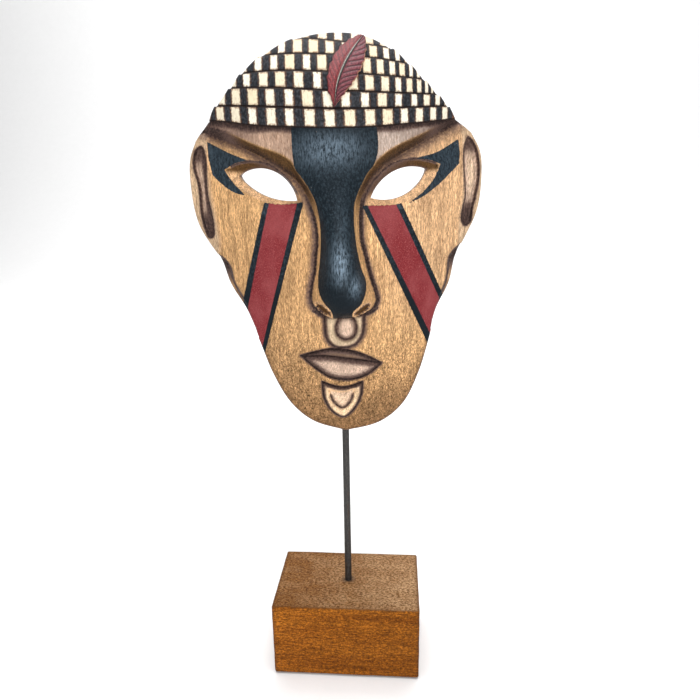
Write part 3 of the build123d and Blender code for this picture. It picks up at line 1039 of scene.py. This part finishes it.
def smooth_carving(field):
    """1 on the nose ring, lips and shield, which show least grain, less on the forehead, 0 on the cheeks."""
    shapes = np.maximum.reduce([field["ring"], field["mouth"], field["shield"]])
    shapes = ease(shapes / 0.6) * (field["middle"] < 0.6)
    return np.maximum(shapes, 0.6 * ease(field["brow"] / 0.8))


def tile_position(places, field):
    """Place along each row of the cap, counted in tiles: a cream tile is at every whole number."""
    x = places[:, 0]
    row = np.clip(np.floor(field["row"]).astype(int), 0, CAP_ROWS - 1)
    middle, radius, first, spacing = np.array(TILE_ROWS, float)[row].T
    angle = np.degrees(np.arcsin(np.clip((x - middle) / radius, -0.999, 0.999)))
    return (angle - first) / spacing


def mask_attributes(places, layer):
    """Numbers that the mask's material reads from its mesh, and the tint of its wood."""
    field = measure(places)
    x, z = places.T
    black = [np.minimum.reduce([field["band"], -field["above cap edge"], field["middle"] + 0.5])]
    bare = []
    for side, _ in SIDES:
        black += [field[side + " wedge"], field[side + " border"]]
        bare += [field[side + " bevel"], field[side + " nostril"] + 0.9]
    bare = np.maximum.reduce(bare)
    unpainted = np.where(layer == 1, -FAR, np.where(bare > 0, -bare, FAR))
    values = {
        "scorch_and_shade": scorch_and_shade_mark(places, field, layer),
        "black": np.minimum(np.maximum.reduce(black), unpainted),
        "red": np.minimum(np.maximum(field["left red"], field["right red"]), unpainted),
        "cap": np.where(layer == 1, -FAR, field["above cap edge"]),
        "row": field["row"],
        "tile": tile_position(places, field),
        "cap_end": np.maximum(CAP_ENDS[0] - x, x - CAP_ENDS[1]),
        "highlight": black_paint_highlight(x, z),
        "grain": 1.0 - 0.5 * smooth_carving(field) * (layer < 1),
        "layer": layer,
    }
    return values, wood_tint(places, field, layer)


# ================================================================ Blender helpers

def placed():
    """Transform from the mask's own frame, in mm, to the scene, in metres."""
    lean = Matrix.Rotation(math.radians(MASK_LEAN), 4, "Y")
    turn = Matrix.Rotation(math.radians(MASK_TURN), 4, "Z")
    return Matrix.Scale(MM, 4) @ Matrix.Translation((0, 0, CHIN_HEIGHT)) @ turn @ lean


def transformed(points, matrix):
    """Points moved by a matrix."""
    matrix = np.array(matrix)
    return points @ matrix[:3, :3].T + matrix[:3, 3]


def add_object(name, points, faces, material, sharp_angle=50.0):
    """A smooth-shaded mesh object from points in metres, with edges over an angle left sharp."""
    mesh = bpy.data.meshes.new(name)
    mesh.from_pydata([tuple(point) for point in points], [], faces)
    mesh.shade_smooth()
    mesh.set_sharp_from_angle(angle=math.radians(sharp_angle))
    mesh.materials.append(material)
    shown = bpy.data.objects.new(name, mesh)
    bpy.context.scene.collection.objects.link(shown)
    return shown


def set_values(shown, name, values):
    """A number for each vertex, for the material to read."""
    attribute = shown.data.attributes.new(name, "FLOAT", "POINT")
    attribute.data.foreach_set("value", np.asarray(values, np.float32))


def set_colours(shown, name, colours):
    """A colour for each vertex, for the material to read."""
    attribute = shown.data.attributes.new(name, "FLOAT_COLOR", "POINT")
    full = np.column_stack([colours, np.ones(len(colours))])
    attribute.data.foreach_set("color", full.astype(np.float32).ravel())


def stacked(rings):
    """Points and faces of a closed body through rings of as many points, from the bottom up."""
    count = len(rings[0])
    last = count * (len(rings) - 1)
    faces = []
    for start in range(0, last, count):
        low = np.arange(start, start + count)
        faces += quads_between(low + count, low)
    faces.append(list(range(count))[::-1])
    faces.append(list(range(last, last + count)))
    return np.vstack(rings), faces


def turned(profile, sides=48):
    """Points and faces of a (radius, height) profile turned about the rod's axis."""
    angles = 2 * math.pi * np.arange(sides) / sides
    circle = np.column_stack([np.cos(angles), np.sin(angles), np.zeros(sides)])
    return stacked([circle * radius + (0.0, 0.0, height) for radius, height in profile])


def drill(shown, bottom, depth):
    """Cuts a blind hole for the rod on its axis; heights in mm."""
    radius = ROD_DIAMETER / 2 + HOLE_CLEARANCE
    points, faces = turned([(radius, bottom), (radius, bottom + depth)])
    cutter = add_object("cutter", points * MM, faces, shown.data.materials[0])
    cut = shown.modifiers.new("hole", "BOOLEAN")
    cut.operation = "DIFFERENCE"
    cut.solver = "EXACT"
    cut.object = cutter
    bpy.context.view_layer.update()
    evaluated = shown.evaluated_get(bpy.context.evaluated_depsgraph_get())
    drilled = bpy.data.meshes.new_from_object(evaluated)
    shown.modifiers.remove(cut)
    shown.data = drilled
    bpy.data.objects.remove(cutter)


# ================================================================ materials

class Amount:
    """A number or colour inside a material, for use in ordinary arithmetic."""

    def __init__(self, paint, socket):
        self.paint = paint
        self.socket = socket

    def __add__(self, other):
        return self.paint.math("ADD", self, other)

    def __sub__(self, other):
        return self.paint.math("SUBTRACT", self, other)

    def __rsub__(self, other):
        return self.paint.math("SUBTRACT", other, self)

    def __mul__(self, other):
        return self.paint.math("MULTIPLY", self, other)

    def __abs__(self):
        return self.paint.math("ABSOLUTE", self)


class Finish:
    """A material, and short ways to add nodes to it. Its texture space is the object's own, in mm."""

    def __init__(self, name, shine=0.5):
        self.material = bpy.data.materials.new(name)
        self.material.use_nodes = True
        self.tree = self.material.node_tree
        self.surface = self.tree.nodes["Principled BSDF"]
        self.surface.inputs["Specular IOR Level"].default_value = shine
        self.space = self.vector("MULTIPLY", self.node("TexCoord", "Object", {}), (1 / MM, 1 / MM, 1 / MM))

    def put(self, socket, value):
        """Joins a socket to another one, or sets its value."""
        if isinstance(value, Amount):
            self.tree.links.new(value.socket, socket)
        elif socket.type == "RGBA":
            socket.default_value = (*value, 1.0)
        else:
            socket.default_value = value

    def node(self, kind, output, inputs, **settings):
        """Adds a node with some inputs and settings, and gives one of its outputs."""
        node = self.tree.nodes.new("ShaderNode" + kind)
        for name, value in settings.items():
            setattr(node, name, value)
        for name, value in inputs.items():
            self.put(node.inputs[name], value)
        return Amount(self, node.outputs[output])

    def math(self, operation, *values):
        """Arithmetic on numbers."""
        return self.node("Math", 0, dict(enumerate(values)), operation=operation)

    def vector(self, operation, first, second):
        """Arithmetic on places."""
        return self.node("VectorMath", 0, {0: first, 1: second}, operation=operation)

    def larger(self, first, second):
        """The larger of two numbers."""
        return self.math("MAXIMUM", first, second)

    def height(self):
        """Height above the table, in mm."""
        return self.node("SeparateXYZ", 2, {0: self.space})

    def across(self):
        """Place to the right of the rod's axis, in mm."""
        return self.node("SeparateXYZ", 0, {0: self.space})

    def from_axis(self):
        """Distance from the rod's axis, in mm."""
        flat = self.vector("MULTIPLY", self.space, (1.0, 1.0, 0.0))
        return self.node("VectorMath", "Value", {0: flat}, operation="LENGTH")

    def ramp(self, value, low, high, start=0.0, end=1.0):
        """Smooth step of a value from low to high, given as start to end."""
        inputs = dict(enumerate((value, low, high, start, end)))
        return self.node("MapRange", 0, inputs, interpolation_type="SMOOTHSTEP")

    def noise(self, stretch, detail=3.0, roughness=0.55, offset=0.0, curl=0.0):
        """Noise about 0.5; stretch is how many features there are per mm along x, y and z."""
        place = self.vector("MULTIPLY", self.space, stretch)
        place = self.vector("ADD", place, (offset, offset, offset))
        inputs = {"Vector": place, "Scale": 1.0, "Detail": detail, "Roughness": roughness, "Distortion": curl}
        return self.node("TexNoise", "Fac", inputs)

    def random(self, first, second):
        """A random number for each pair of whole numbers."""
        pair = self.node("CombineXYZ", 0, {0: first, 1: second})
        return self.node("TexWhiteNoise", "Value", {"Vector": pair})

    def mix(self, share, first, second):
        """One colour changed towards another."""
        return self.node("Mix", 2, {0: share, 6: first, 7: second}, data_type="RGBA")

    def scaled(self, colour, amount):
        """A colour times a number."""
        return self.node("VectorMath", 0, {0: colour, "Scale": amount}, operation="SCALE")

    def attribute(self, name, output="Fac"):
        """A value or colour that the mesh carries."""
        return self.node("Attribute", output, {}, attribute_name=name)

    def finish(self, colour, roughness, height, relief_mm):
        """Joins the results to the surface."""
        inputs = {"Strength": 1.0, "Distance": relief_mm * MM, "Height": height}
        normal = self.node("Bump", 0, inputs)
        for name, value in (("Base Color", colour), ("Roughness", roughness), ("Normal", normal)):
            self.put(self.surface.inputs[name], value)
        return self.material


def wood_grain(paint, fine):
    """Brightness of the grain, about 1: upright streaks and specks, and coarse curled flecks at the chin."""
    streaks = paint.noise((0.5, 0.5, 0.03), 5.0, 0.66)
    speckle = paint.noise((2.3, 2.3, 1.1), 2.0, 0.6, offset=17.0)
    flecks = paint.noise((1.1, 1.1, 0.8), 3.0, 0.7, offset=11.0, curl=1.2)
    curls = abs(paint.noise((0.24, 0.24, 0.17), 2.0, 0.6, offset=23.0, curl=1.6) - 0.5)
    near_chin = paint.ramp(paint.height(), CHIN_HEIGHT + 96, CHIN_HEIGHT + 36, 0.06, 1.0)
    grain = paint.ramp(streaks, 0.32, 0.68, 0.72, 1.28) * paint.ramp(fine, 0.34, 0.66, 0.54, 1.36)
    grain = grain * paint.ramp(speckle, 0.32, 0.68, 0.82, 1.16)
    coarse = paint.ramp(flecks, 0.38, 0.6, -0.46, 0.4) * near_chin + 1.0
    return grain * (paint.ramp(curls, 0.008, 0.04, -0.5, 0.09) * near_chin + coarse)


def carved_wood_colour(paint, wander, fine, patches, pores):
    """Stained wood with grain and open pores, under scorching and painted shade."""
    grain = (wood_grain(paint, fine) - 1.0) * paint.attribute("grain") + 1.0
    wood = paint.scaled(paint.attribute("tint", "Color"), grain)
    wood = paint.scaled(wood, paint.ramp(patches, 0.3, 0.7, 0.9, 1.08))
    wood = paint.mix(pores * (paint.attribute("grain") * 0.6), wood, PORE_BROWN)
    scorch_and_shade_share = paint.attribute("scorch_and_shade") * paint.ramp(wander, 0.25, 0.75, 0.74, 1.16)
    scorch_and_shade_share = scorch_and_shade_share * paint.ramp(fine, 0.3, 0.7, 0.85, 1.12)
    colour = paint.mix(paint.ramp(scorch_and_shade_share, 0.02, 0.6), wood, SCORCH_AND_SHADE)
    return paint.mix(paint.ramp(scorch_and_shade_share, 0.42, 0.98), colour, DEEP_SCORCH_AND_SHADE)


def black_paint_colour(paint, dust):
    """Brushed black paint with painted highlights, painted shade below the nose tip, and a few chips."""
    # The dust fades out below the nose tip, so the black there is painted darker as shade
    above_tip = paint.ramp(paint.height(), CHIN_HEIGHT + 88, CHIN_HEIGHT + 108)
    colour = paint.mix(dust * above_tip, BLACK_PAINT, DUSTY_BLACK)
    # Painted highlight on the black paint, in brushed specks
    speckle = paint.ramp(paint.noise((1.2, 1.2, 0.3), 5.0, 0.75, offset=15.0), 0.36, 0.64)
    colour = paint.mix(paint.attribute("highlight") * speckle, colour, HIGHLIGHT_BLACK)
    chips = paint.ramp(paint.noise((0.62, 0.62, 0.62), 2.0, offset=21.0), 0.765, 0.79)
    return paint.mix(chips, colour, CHIPPED_TAN)


def red_paint_colour(paint, patches):
    """Mottled red paint, faded in patches."""
    mottle = paint.noise((1.9, 1.9, 1.9), 3.0, 0.7, offset=13.0)
    colour = paint.mix(paint.ramp(mottle, 0.36, 0.6), DEEP_RED, RED_PAINT)
    faded = paint.larger(paint.ramp(patches, 0.35, 0.7, 0.0, 0.5), paint.ramp(mottle, 0.54, 0.66))
    return paint.mix(faded, colour, FADED_RED)


def cap_colour(paint, ragged, wander, dust, pores):
    """Rows of cream tiles on black, smudged brown at their edges; also the share of cream."""
    row = paint.attribute("row")
    row_number = paint.math("FLOOR", row)
    tile = paint.attribute("tile") + ragged * 0.1
    tile_number = paint.math("FLOOR", tile + 0.5)
    luck = paint.random(tile_number, row_number)
    shift = paint.random(row_number, tile_number) * 0.08 + -0.04
    off_centre = tile - tile_number + shift
    from_edge = paint.ramp(luck, 0.0, 1.0, 0.21, 0.29) - abs(off_centre)
    share = paint.math("FRACT", row)
    near_line = paint.math("MINIMUM", share, 1.0 - share) + ragged * 0.08
    in_cut = paint.ramp(near_line, 0.095, 0.05)
    at_end = paint.ramp(paint.attribute("cap_end"), -0.2, 0.2) * paint.ramp(row, 1.02, 0.98)
    is_cream = paint.ramp(from_edge, -0.012, 0.012) * (1.0 - in_cut) * (1.0 - at_end)
    is_cream = is_cream * paint.ramp(paint.attribute("layer"), 0.3, 0.24)

    cream = paint.mix(paint.ramp(luck, 0.1, 1.0), CREAM_PAINT, AGED_CREAM)
    cream = paint.mix(pores * 0.3, cream, SMUDGE_BROWN)
    smudged = paint.larger(paint.ramp(from_edge, 0.075, 0.0), paint.ramp(near_line, 0.2, 0.1))
    cream = paint.mix(smudged * paint.ramp(wander, 0.36, 0.6) * 0.85, cream, SMUDGE_BROWN)
    brown_edge = paint.ramp(from_edge, -0.13, 0.0) * paint.ramp(wander, 0.6, 0.42)
    black = paint.mix(dust, TILE_BLACK, DUSTY_TILE)
    black = paint.mix(brown_edge * 0.85, black, TILE_EDGE_BROWN)
    black = paint.mix(in_cut * 0.85, black, CUT_BLACK)
    return paint.mix(is_cream, black, cream), is_cream


def mask_finish():
    """Stained and scorched wood, painted shade and highlights, brushed paint: black, red, and a tiled cap."""
    paint = Finish("carved_wood", shine=0.07)
    wander = paint.noise((0.9, 0.9, 0.7), 2.0)
    fine = paint.noise((2.9, 2.9, 0.3), 3.0, 0.62)
    patches = paint.noise((0.06, 0.06, 0.04), 3.0, offset=7.0)
    pores = paint.ramp(paint.noise((2.2, 2.2, 0.4), 2.0, offset=3.0), 0.52, 0.64)
    dust = paint.ramp(paint.noise((0.9, 0.9, 0.6), 5.0, 0.75, offset=5.0), 0.42, 0.72)
    ragged = (paint.noise((1.6, 1.6, 1.6), 3.0) - 0.5) * 0.9

    black = paint.ramp(paint.attribute("black") + ragged, -0.14, 0.14)
    red = paint.ramp(paint.attribute("red") + ragged, -0.14, 0.14)
    in_cap = paint.ramp(paint.attribute("cap"), -0.1, 0.1)
    tiles, is_cream = cap_colour(paint, ragged, wander, dust, pores)
    colour = carved_wood_colour(paint, wander, fine, patches, pores)
    colour = paint.mix(black, colour, black_paint_colour(paint, dust))
    colour = paint.mix(red, colour, red_paint_colour(paint, patches))
    colour = paint.mix(in_cap, colour, tiles)

    painted = paint.larger(paint.larger(black, red), in_cap)
    brush = paint.noise((1.5, 1.5, 1.1), 5.0, 0.7)
    height = fine * 0.4 + brush * 0.55 - pores * 0.25 + painted * 0.35 + is_cream * in_cap * 0.9
    return paint.finish(colour, paint.ramp(brush, 0.3, 0.7, 0.3, 0.48), height, 0.22)


def feather_finish():
    """Crimson paint over carved barbs, with a dark vein and darker strokes on the right half."""
    paint = Finish("painted_feather", shine=0.3)
    across = paint.attribute("across")
    fine = paint.noise((1.8, 1.8, 1.8), 4.0, 0.65)
    mottle = paint.ramp(fine, 0.4, 0.6)
    colour = paint.mix(paint.ramp(across, -0.05, 0.08), paint.mix(mottle, *CRIMSON),
                       paint.mix(mottle, *DARK_CRIMSON))
    strokes = paint.ramp(paint.attribute("barb"), 0.3, 0.75) * paint.ramp(across, -0.1, 0.15, 0.5, 0.9)
    colour = paint.mix(strokes, colour, BARB_SHADOW)
    from_vein = abs(across)
    vein = paint.ramp(from_vein + (fine - 0.5) * 0.05, 0.12, 0.07)
    colour = paint.mix(vein, colour, VEIN_BLACK)
    # Painted highlight along the vein
    shine = paint.ramp(abs(across + 0.03), 0.05, 0.02) * paint.ramp(fine, 0.38, 0.55)
    colour = paint.mix(shine, colour, VEIN_SHINE)
    edge = paint.ramp(from_vein, 0.93, 0.99)
    left_edge, right_edge = FEATHER_EDGES
    colour = paint.mix(edge * paint.ramp(across, -0.5, 0.5, 0.9, 0.0), colour, left_edge)
    colour = paint.mix(edge * paint.ramp(across, 0.2, 0.6, 0.0, 0.8), colour, right_edge)
    return paint.finish(colour, paint.ramp(fine, 0.3, 0.7, 0.32, 0.55), fine, 0.2)


def block_top_colour(stain, speckle):
    """Dusty top of the block, paler towards the right and in clouds."""
    clouds = stain.ramp(stain.noise((0.05, 0.08, 0.08), 3.0, 0.6, offset=12.0), 0.36, 0.64, -0.22, 0.22)
    paleness = stain.ramp(stain.across(), -45.0, 45.0, 0.1, 0.8) + clouds
    return stain.mix(stain.ramp(speckle, 0.38, 0.62), stain.mix(paleness, *DARK_TOP),
                     stain.mix(paleness, *DUSTY_TOP))


def block_finish():
    """Orange-brown stained hardwood with its grain along the block, greyer and dusty on top."""
    stain = Finish("block_wood", shine=0.05)
    bands = stain.noise((0.012, 0.16, 0.16), 4.0, 0.6)
    streaks = stain.ramp(stain.noise((0.03, 0.7, 0.7), 3.0, 0.6, offset=6.0), 0.54, 0.68)
    fine = stain.noise((0.25, 1.0, 1.0), 4.0, 0.72)
    pores = stain.ramp(stain.noise((1.1, 2.4, 2.4), 2.0, offset=4.0), 0.52, 0.66)
    grit = stain.noise((0.62, 0.95, 0.95), 3.0, 0.75, offset=19.0)
    speckle = stain.noise((0.55, 0.8, 0.8), 4.0, 0.78, offset=9.0)
    colour = stain.mix(stain.ramp(bands, 0.3, 0.7), *BLOCK_ORANGE)
    colour = stain.scaled(colour, stain.ramp(fine, 0.34, 0.66, 0.6, 1.4))
    colour = stain.scaled(colour, stain.ramp(grit, 0.4, 0.6, 0.6, 1.45))
    colour = stain.scaled(colour, stain.ramp(stain.across(), -48.0, 30.0, 1.22, 0.98))
    colour = stain.mix(streaks * 0.45, colour, BLOCK_STREAK)
    colour = stain.mix(pores * 0.5, colour, BLOCK_PORE)
    top = stain.ramp(stain.height(), BLOCK_TOP - 0.9, BLOCK_TOP - 0.1)
    colour = stain.mix(top * 0.92, colour, block_top_colour(stain, speckle))
    worn = stain.attribute("rub") * stain.ramp(speckle, 0.35, 0.6)
    colour = stain.mix(worn * 0.75, colour, WORN_EDGE)
    smudge = stain.ramp(stain.from_axis(), 6.5, 2.4) * top
    colour = stain.mix(smudge * 0.6, colour, ROD_SMUDGE)
    return stain.finish(colour, stain.ramp(fine, 0.3, 0.7, 0.34, 0.52), fine - pores * 0.8, 0.15)


def rod_finish():
    """Blackened iron with faint rust."""
    iron = Finish("rod_iron")
    iron.surface.inputs["Metallic"].default_value = 0.75
    fine = iron.noise((1.6, 1.6, 0.7), 5.0, 0.65)
    rust = iron.ramp(iron.noise((0.4, 0.4, 0.12), 4.0, 0.6, offset=2.0), 0.55, 0.75)
    colour = iron.mix(rust * 0.5, iron.mix(iron.ramp(fine, 0.35, 0.7), *IRON), RUST)
    return iron.finish(colour, iron.ramp(fine, 0.3, 0.7, 0.4, 0.62), fine, 0.1)


def felt_finish():
    """Dark felt."""
    felt = Finish("felt")
    felt.surface.inputs["Sheen Weight"].default_value = 0.3
    fibres = felt.noise((3.0, 3.0, 3.0), 5.0, 0.75)
    colour = felt.mix(felt.ramp(fibres, 0.35, 0.65), *FELT)
    return felt.finish(colour, felt.ramp(fibres, 0.3, 0.7, 0.88, 1.0), fibres, 0.25)


def floor_finish():
    """Matt white paper."""
    paper = Finish("paper")
    fibres = paper.noise((0.05, 0.05, 0.05), 3.0)
    return paper.finish(paper.mix(fibres, *PAPER), paper.ramp(fibres, 0.3, 0.7, 0.85, 0.95), fibres, 0.02)


# ================================================================ pieces

def make_mask():
    """The carved mask, with the blind hole for the rod in its chin."""
    points, faces, places, layer = make_mask_mesh()
    shown = add_object("mask", transformed(points, placed()), faces, mask_finish(), sharp_angle=42.0)
    values, tint = mask_attributes(places, layer)
    for name, value in values.items():
        set_values(shown, name, value)
    set_colours(shown, "tint", tint)
    drill(shown, CHIN_HEIGHT - DRILL_EXTRA, CHIN_HOLE_DEPTH + DRILL_EXTRA)
    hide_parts("mask_face")
    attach(shown, "mask")


def feather_barb(share, across):
    """Slanting cuts, 1 in a cut and 0 between."""
    phase = FEATHER_BARBS * (share - 0.17 * np.abs(across))
    return (0.5 + 0.5 * np.cos(2 * math.pi * phase)) ** 3 * ease((np.abs(across) - 0.1) / 0.1)


def feather_height(share, across):
    """Thickness of the feather over its width: a raised vein between two sunk, barbed halves."""
    barb = feather_barb(share, across)
    body = 0.62 + 0.38 * np.sqrt(np.clip(1.0 - np.abs(across) ** 3, 0.0, 1.0))
    carved = body - 0.16 * barb * (across > 0.12) - 0.07 * barb * (across < -0.12)
    carved = carved - 0.16 * bump((np.abs(across) - 0.16) / 0.07) + 0.12 * bump(across / 0.07)
    return FEATHER_THICKNESS * carved


def feather_places(share, across):
    """Where points of the feather are in front view, and how wide it is there on their side."""
    vein = curve(FEATHER_VEIN, spacing=0.25)
    reached = np.linspace(0, 1, len(vein))
    middle = np.column_stack([np.interp(share, reached, vein[:, axis]) for axis in (0, 1)])
    ahead = np.gradient(vein, axis=0)
    ahead /= np.linalg.norm(ahead, axis=1, keepdims=True)
    right = np.column_stack([np.interp(share, reached, ahead[:, 1]), -np.interp(share, reached, ahead[:, 0])])
    width = np.where(across < 0, along(FEATHER_LEFT, share), along(FEATHER_RIGHT, share))
    ragged = 0.25 * np.sin(share * 47.0) + 0.2 * np.sin(share * 83.0 + 1.0)
    width = np.clip(width + ragged * (np.abs(across) > 0.9) * (width > 1.0), 0.25, None)
    return middle + right * (across * width)[:, None], width


def make_feather():
    """Painted feather that lies on the front of the cap."""
    share, across = np.meshgrid(np.linspace(0, 1, FEATHER_ROWS), np.linspace(-1, 1, FEATHER_COLUMNS),
                                indexing="ij")
    share, across = share.ravel(), across.ravel()
    places, width = feather_places(share, across)
    x, z = places.T
    ground = shell_depth(x, z) - CAP_RISE
    front = ground - feather_height(share, across) * np.clip(width / 1.5, 0.35, 1.0)
    points = np.vstack([np.column_stack([x, front, z]), np.column_stack([x, ground + FEATHER_SUNK, z])])
    index = np.arange(len(places)).reshape(FEATHER_ROWS, FEATHER_COLUMNS)
    quads = np.stack([index[:-1, :-1], index[:-1, 1:], index[1:, 1:], index[1:, :-1]], axis=-1).reshape(-1, 4)
    rim = np.concatenate([index[0, :-1], index[:-1, -1], index[-1, :0:-1], index[:0:-1, 0]])
    faces = quads.tolist() + (quads[:, ::-1] + len(places)).tolist()
    faces += quads_between(rim, rim + len(places))
    shown = add_object("feather_carved", transformed(points, placed()), faces, feather_finish())
    set_values(shown, "across", np.tile(across, 2))
    set_values(shown, "barb", np.tile(feather_barb(share, across), 2))
    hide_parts("feather")
    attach(shown, "mask")


def box_grid(size, spacing):
    """Points and quads on the surface of a box about the origin, in a fine grid."""
    grid = bmesh.new()
    bmesh.ops.create_cube(grid, size=1.0)
    cuts = round(max(size) / spacing)
    bmesh.ops.subdivide_edges(grid, edges=grid.edges[:], cuts=cuts, use_grid_fill=True)
    points = np.array([tuple(vertex.co) for vertex in grid.verts]) * np.array(size)
    faces = [[vertex.index for vertex in face.verts] for face in grid.faces]
    grid.free()
    return points, faces


def rounded_box(size, radius, spacing):
    """The grid of a box with its points drawn in to round edges and corners."""
    points, faces = box_grid(size, spacing)
    half = np.array(size) / 2
    core = np.clip(points, radius - half, half - radius)
    outward = points - core
    unit = outward / np.maximum(np.linalg.norm(outward, axis=1, keepdims=True), 1e-9)
    on_surface = np.max(np.abs(points / half), axis=1) > 0.999
    return np.where(on_surface[:, None], core + unit * radius, points), faces


def make_block():
    """Wooden block with eased, slightly worn edges and a hole for the rod."""
    points, faces = rounded_box(BLOCK_SIZE, BLOCK_EDGE_RADIUS, BLOCK_STEP)
    x, y, z = points.T
    half = np.array(BLOCK_SIZE) / 2
    near_edges = np.sort(np.abs(points) / half, axis=1)[:, 1]
    worn = 0.10 + 0.06 * np.sin(x / 7.0 + z / 3.0) + 0.04 * np.sin(y / 2.3 + x / 11.0)
    points = points - np.sign(points) * worn[:, None] * (np.abs(points) > half - 0.6)
    points[:, 2] += FELT_THICKNESS + BLOCK_SIZE.z / 2
    shown = add_object("block", points * MM, faces, block_finish())
    set_values(shown, "rub", ease((near_edges - 0.94) / 0.05))
    drill(shown, BLOCK_TOP - BLOCK_HOLE_DEPTH, BLOCK_HOLE_DEPTH + DRILL_EXTRA)
    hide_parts("base_block")
    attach(shown, "base")


def make_rod():
    """Iron rod, faintly uneven, with chamfered ends."""
    bottom = BLOCK_TOP - BLOCK_HOLE_DEPTH
    top = CHIN_HEIGHT + CHIN_HOLE_DEPTH
    radius = ROD_DIAMETER / 2
    profile = [(radius - ROD_CHAMFER, bottom)]
    for height in np.linspace(bottom + ROD_CHAMFER, top - ROD_CHAMFER, ROD_RINGS):
        profile.append((radius - 0.02 - 0.02 * math.sin(height / 3.1) * math.sin(height / 7.7), height))
    profile.append((radius - ROD_CHAMFER, top))
    points, faces = turned(profile)
    shown = add_object("rod_bar", points * MM, faces, rod_finish(), sharp_angle=30.0)
    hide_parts("support_rod")
    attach(shown, "rod")


def make_felt():
    """Thin felt sheet under the block, with rounded corners and a soft edge."""
    corner = FELT_CORNER_RADIUS
    centre_x = BLOCK_SIZE.x / 2 - FELT_INSET - corner
    centre_y = BLOCK_SIZE.y / 2 - FELT_INSET - corner
    outline = []
    for quarter, (sign_x, sign_y) in enumerate(((1, 1), (-1, 1), (-1, -1), (1, -1))):
        for step in range(9):
            angle = math.pi / 2 * (quarter + step / 8)
            outline.append((sign_x * centre_x + corner * math.cos(angle),
                            sign_y * centre_y + corner * math.sin(angle)))
    loop = straight_sided(outline, 1.5)
    rings = []
    for inset, share in ((0.12, 0.0), (0.0, 0.15), (0.0, 0.85), (0.12, 1.0)):
        height = np.full(len(loop), share * FELT_THICKNESS)
        rings.append(np.column_stack([loop - inset * normals(loop), height]))
    points, faces = stacked(rings)
    shown = add_object("felt_pad", points * MM, faces, felt_finish())
    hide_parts("felt_sheet")
    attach(shown, "base")


# ================================================================ studio

def make_floor():
    """Pale floor that sweeps up behind the object."""
    profile = [(-FLOOR_REACH, 0.0), (SWEEP_START, 0.0)]
    for step in range(1, 13):
        angle = math.pi / 2 * step / 12
        profile.append((SWEEP_START + SWEEP_RADIUS * math.sin(angle), SWEEP_RADIUS * (1 - math.cos(angle))))
    profile.append((SWEEP_START + SWEEP_RADIUS, BACKDROP_HEIGHT))
    points = [(x, y, z) for y, z in profile for x in (-FLOOR_REACH, FLOOR_REACH)]
    faces = [(2 * step, 2 * step + 1, 2 * step + 3, 2 * step + 2) for step in range(len(profile) - 1)]
    floor = add_object("floor", points, faces, floor_finish())


def add_light(name, place, target, size, power):
    """Soft square light that faces a point."""
    light = bpy.data.lights.new(name, "AREA")
    light.shape = "SQUARE"
    light.size = size
    light.energy = power
    holder = bpy.data.objects.new(name, light)
    holder.location = place
    holder.rotation_euler = (Vector(target) - Vector(place)).to_track_quat("-Z", "Y").to_euler()
    bpy.context.scene.collection.objects.link(holder)


def make_lights():
    """Soft light from above and in front, a little from the right, in a white room."""
    for light in LIGHTS:
        add_light(*light)
    world = bpy.data.worlds.new("room")
    world.use_nodes = True
    background = world.node_tree.nodes["Background"]
    background.inputs["Color"].default_value = (1.0, 1.0, 1.0, 1.0)
    background.inputs["Strength"].default_value = ROOM_BRIGHTNESS
    bpy.context.scene.world = world


def make_camera():
    """Camera a little right of the middle, level with the eyes of the mask and tipped down."""
    yaw, pitch, roll = (math.radians(angle) for angle in CAMERA_TURN)
    turn = (Matrix.Rotation(yaw, 4, "Z") @ Matrix.Rotation(math.radians(90) + pitch, 4, "X")
            @ Matrix.Rotation(roll, 4, "Z"))
    camera = bpy.data.cameras.new("camera")
    camera.sensor_width = SENSOR_WIDTH
    camera.lens = FOCAL_LENGTH
    camera.clip_start = 0.01
    holder = bpy.data.objects.new("camera", camera)
    holder.matrix_world = Matrix.Translation(Vector(CAMERA_PLACE) * MM) @ turn
    bpy.context.scene.collection.objects.link(holder)
    bpy.context.scene.camera = holder


make_mask()
make_feather()
make_block()
make_rod()
make_felt()
make_floor()
make_lights()
make_camera()
bpy.context.scene.view_settings.view_transform = "Standard"
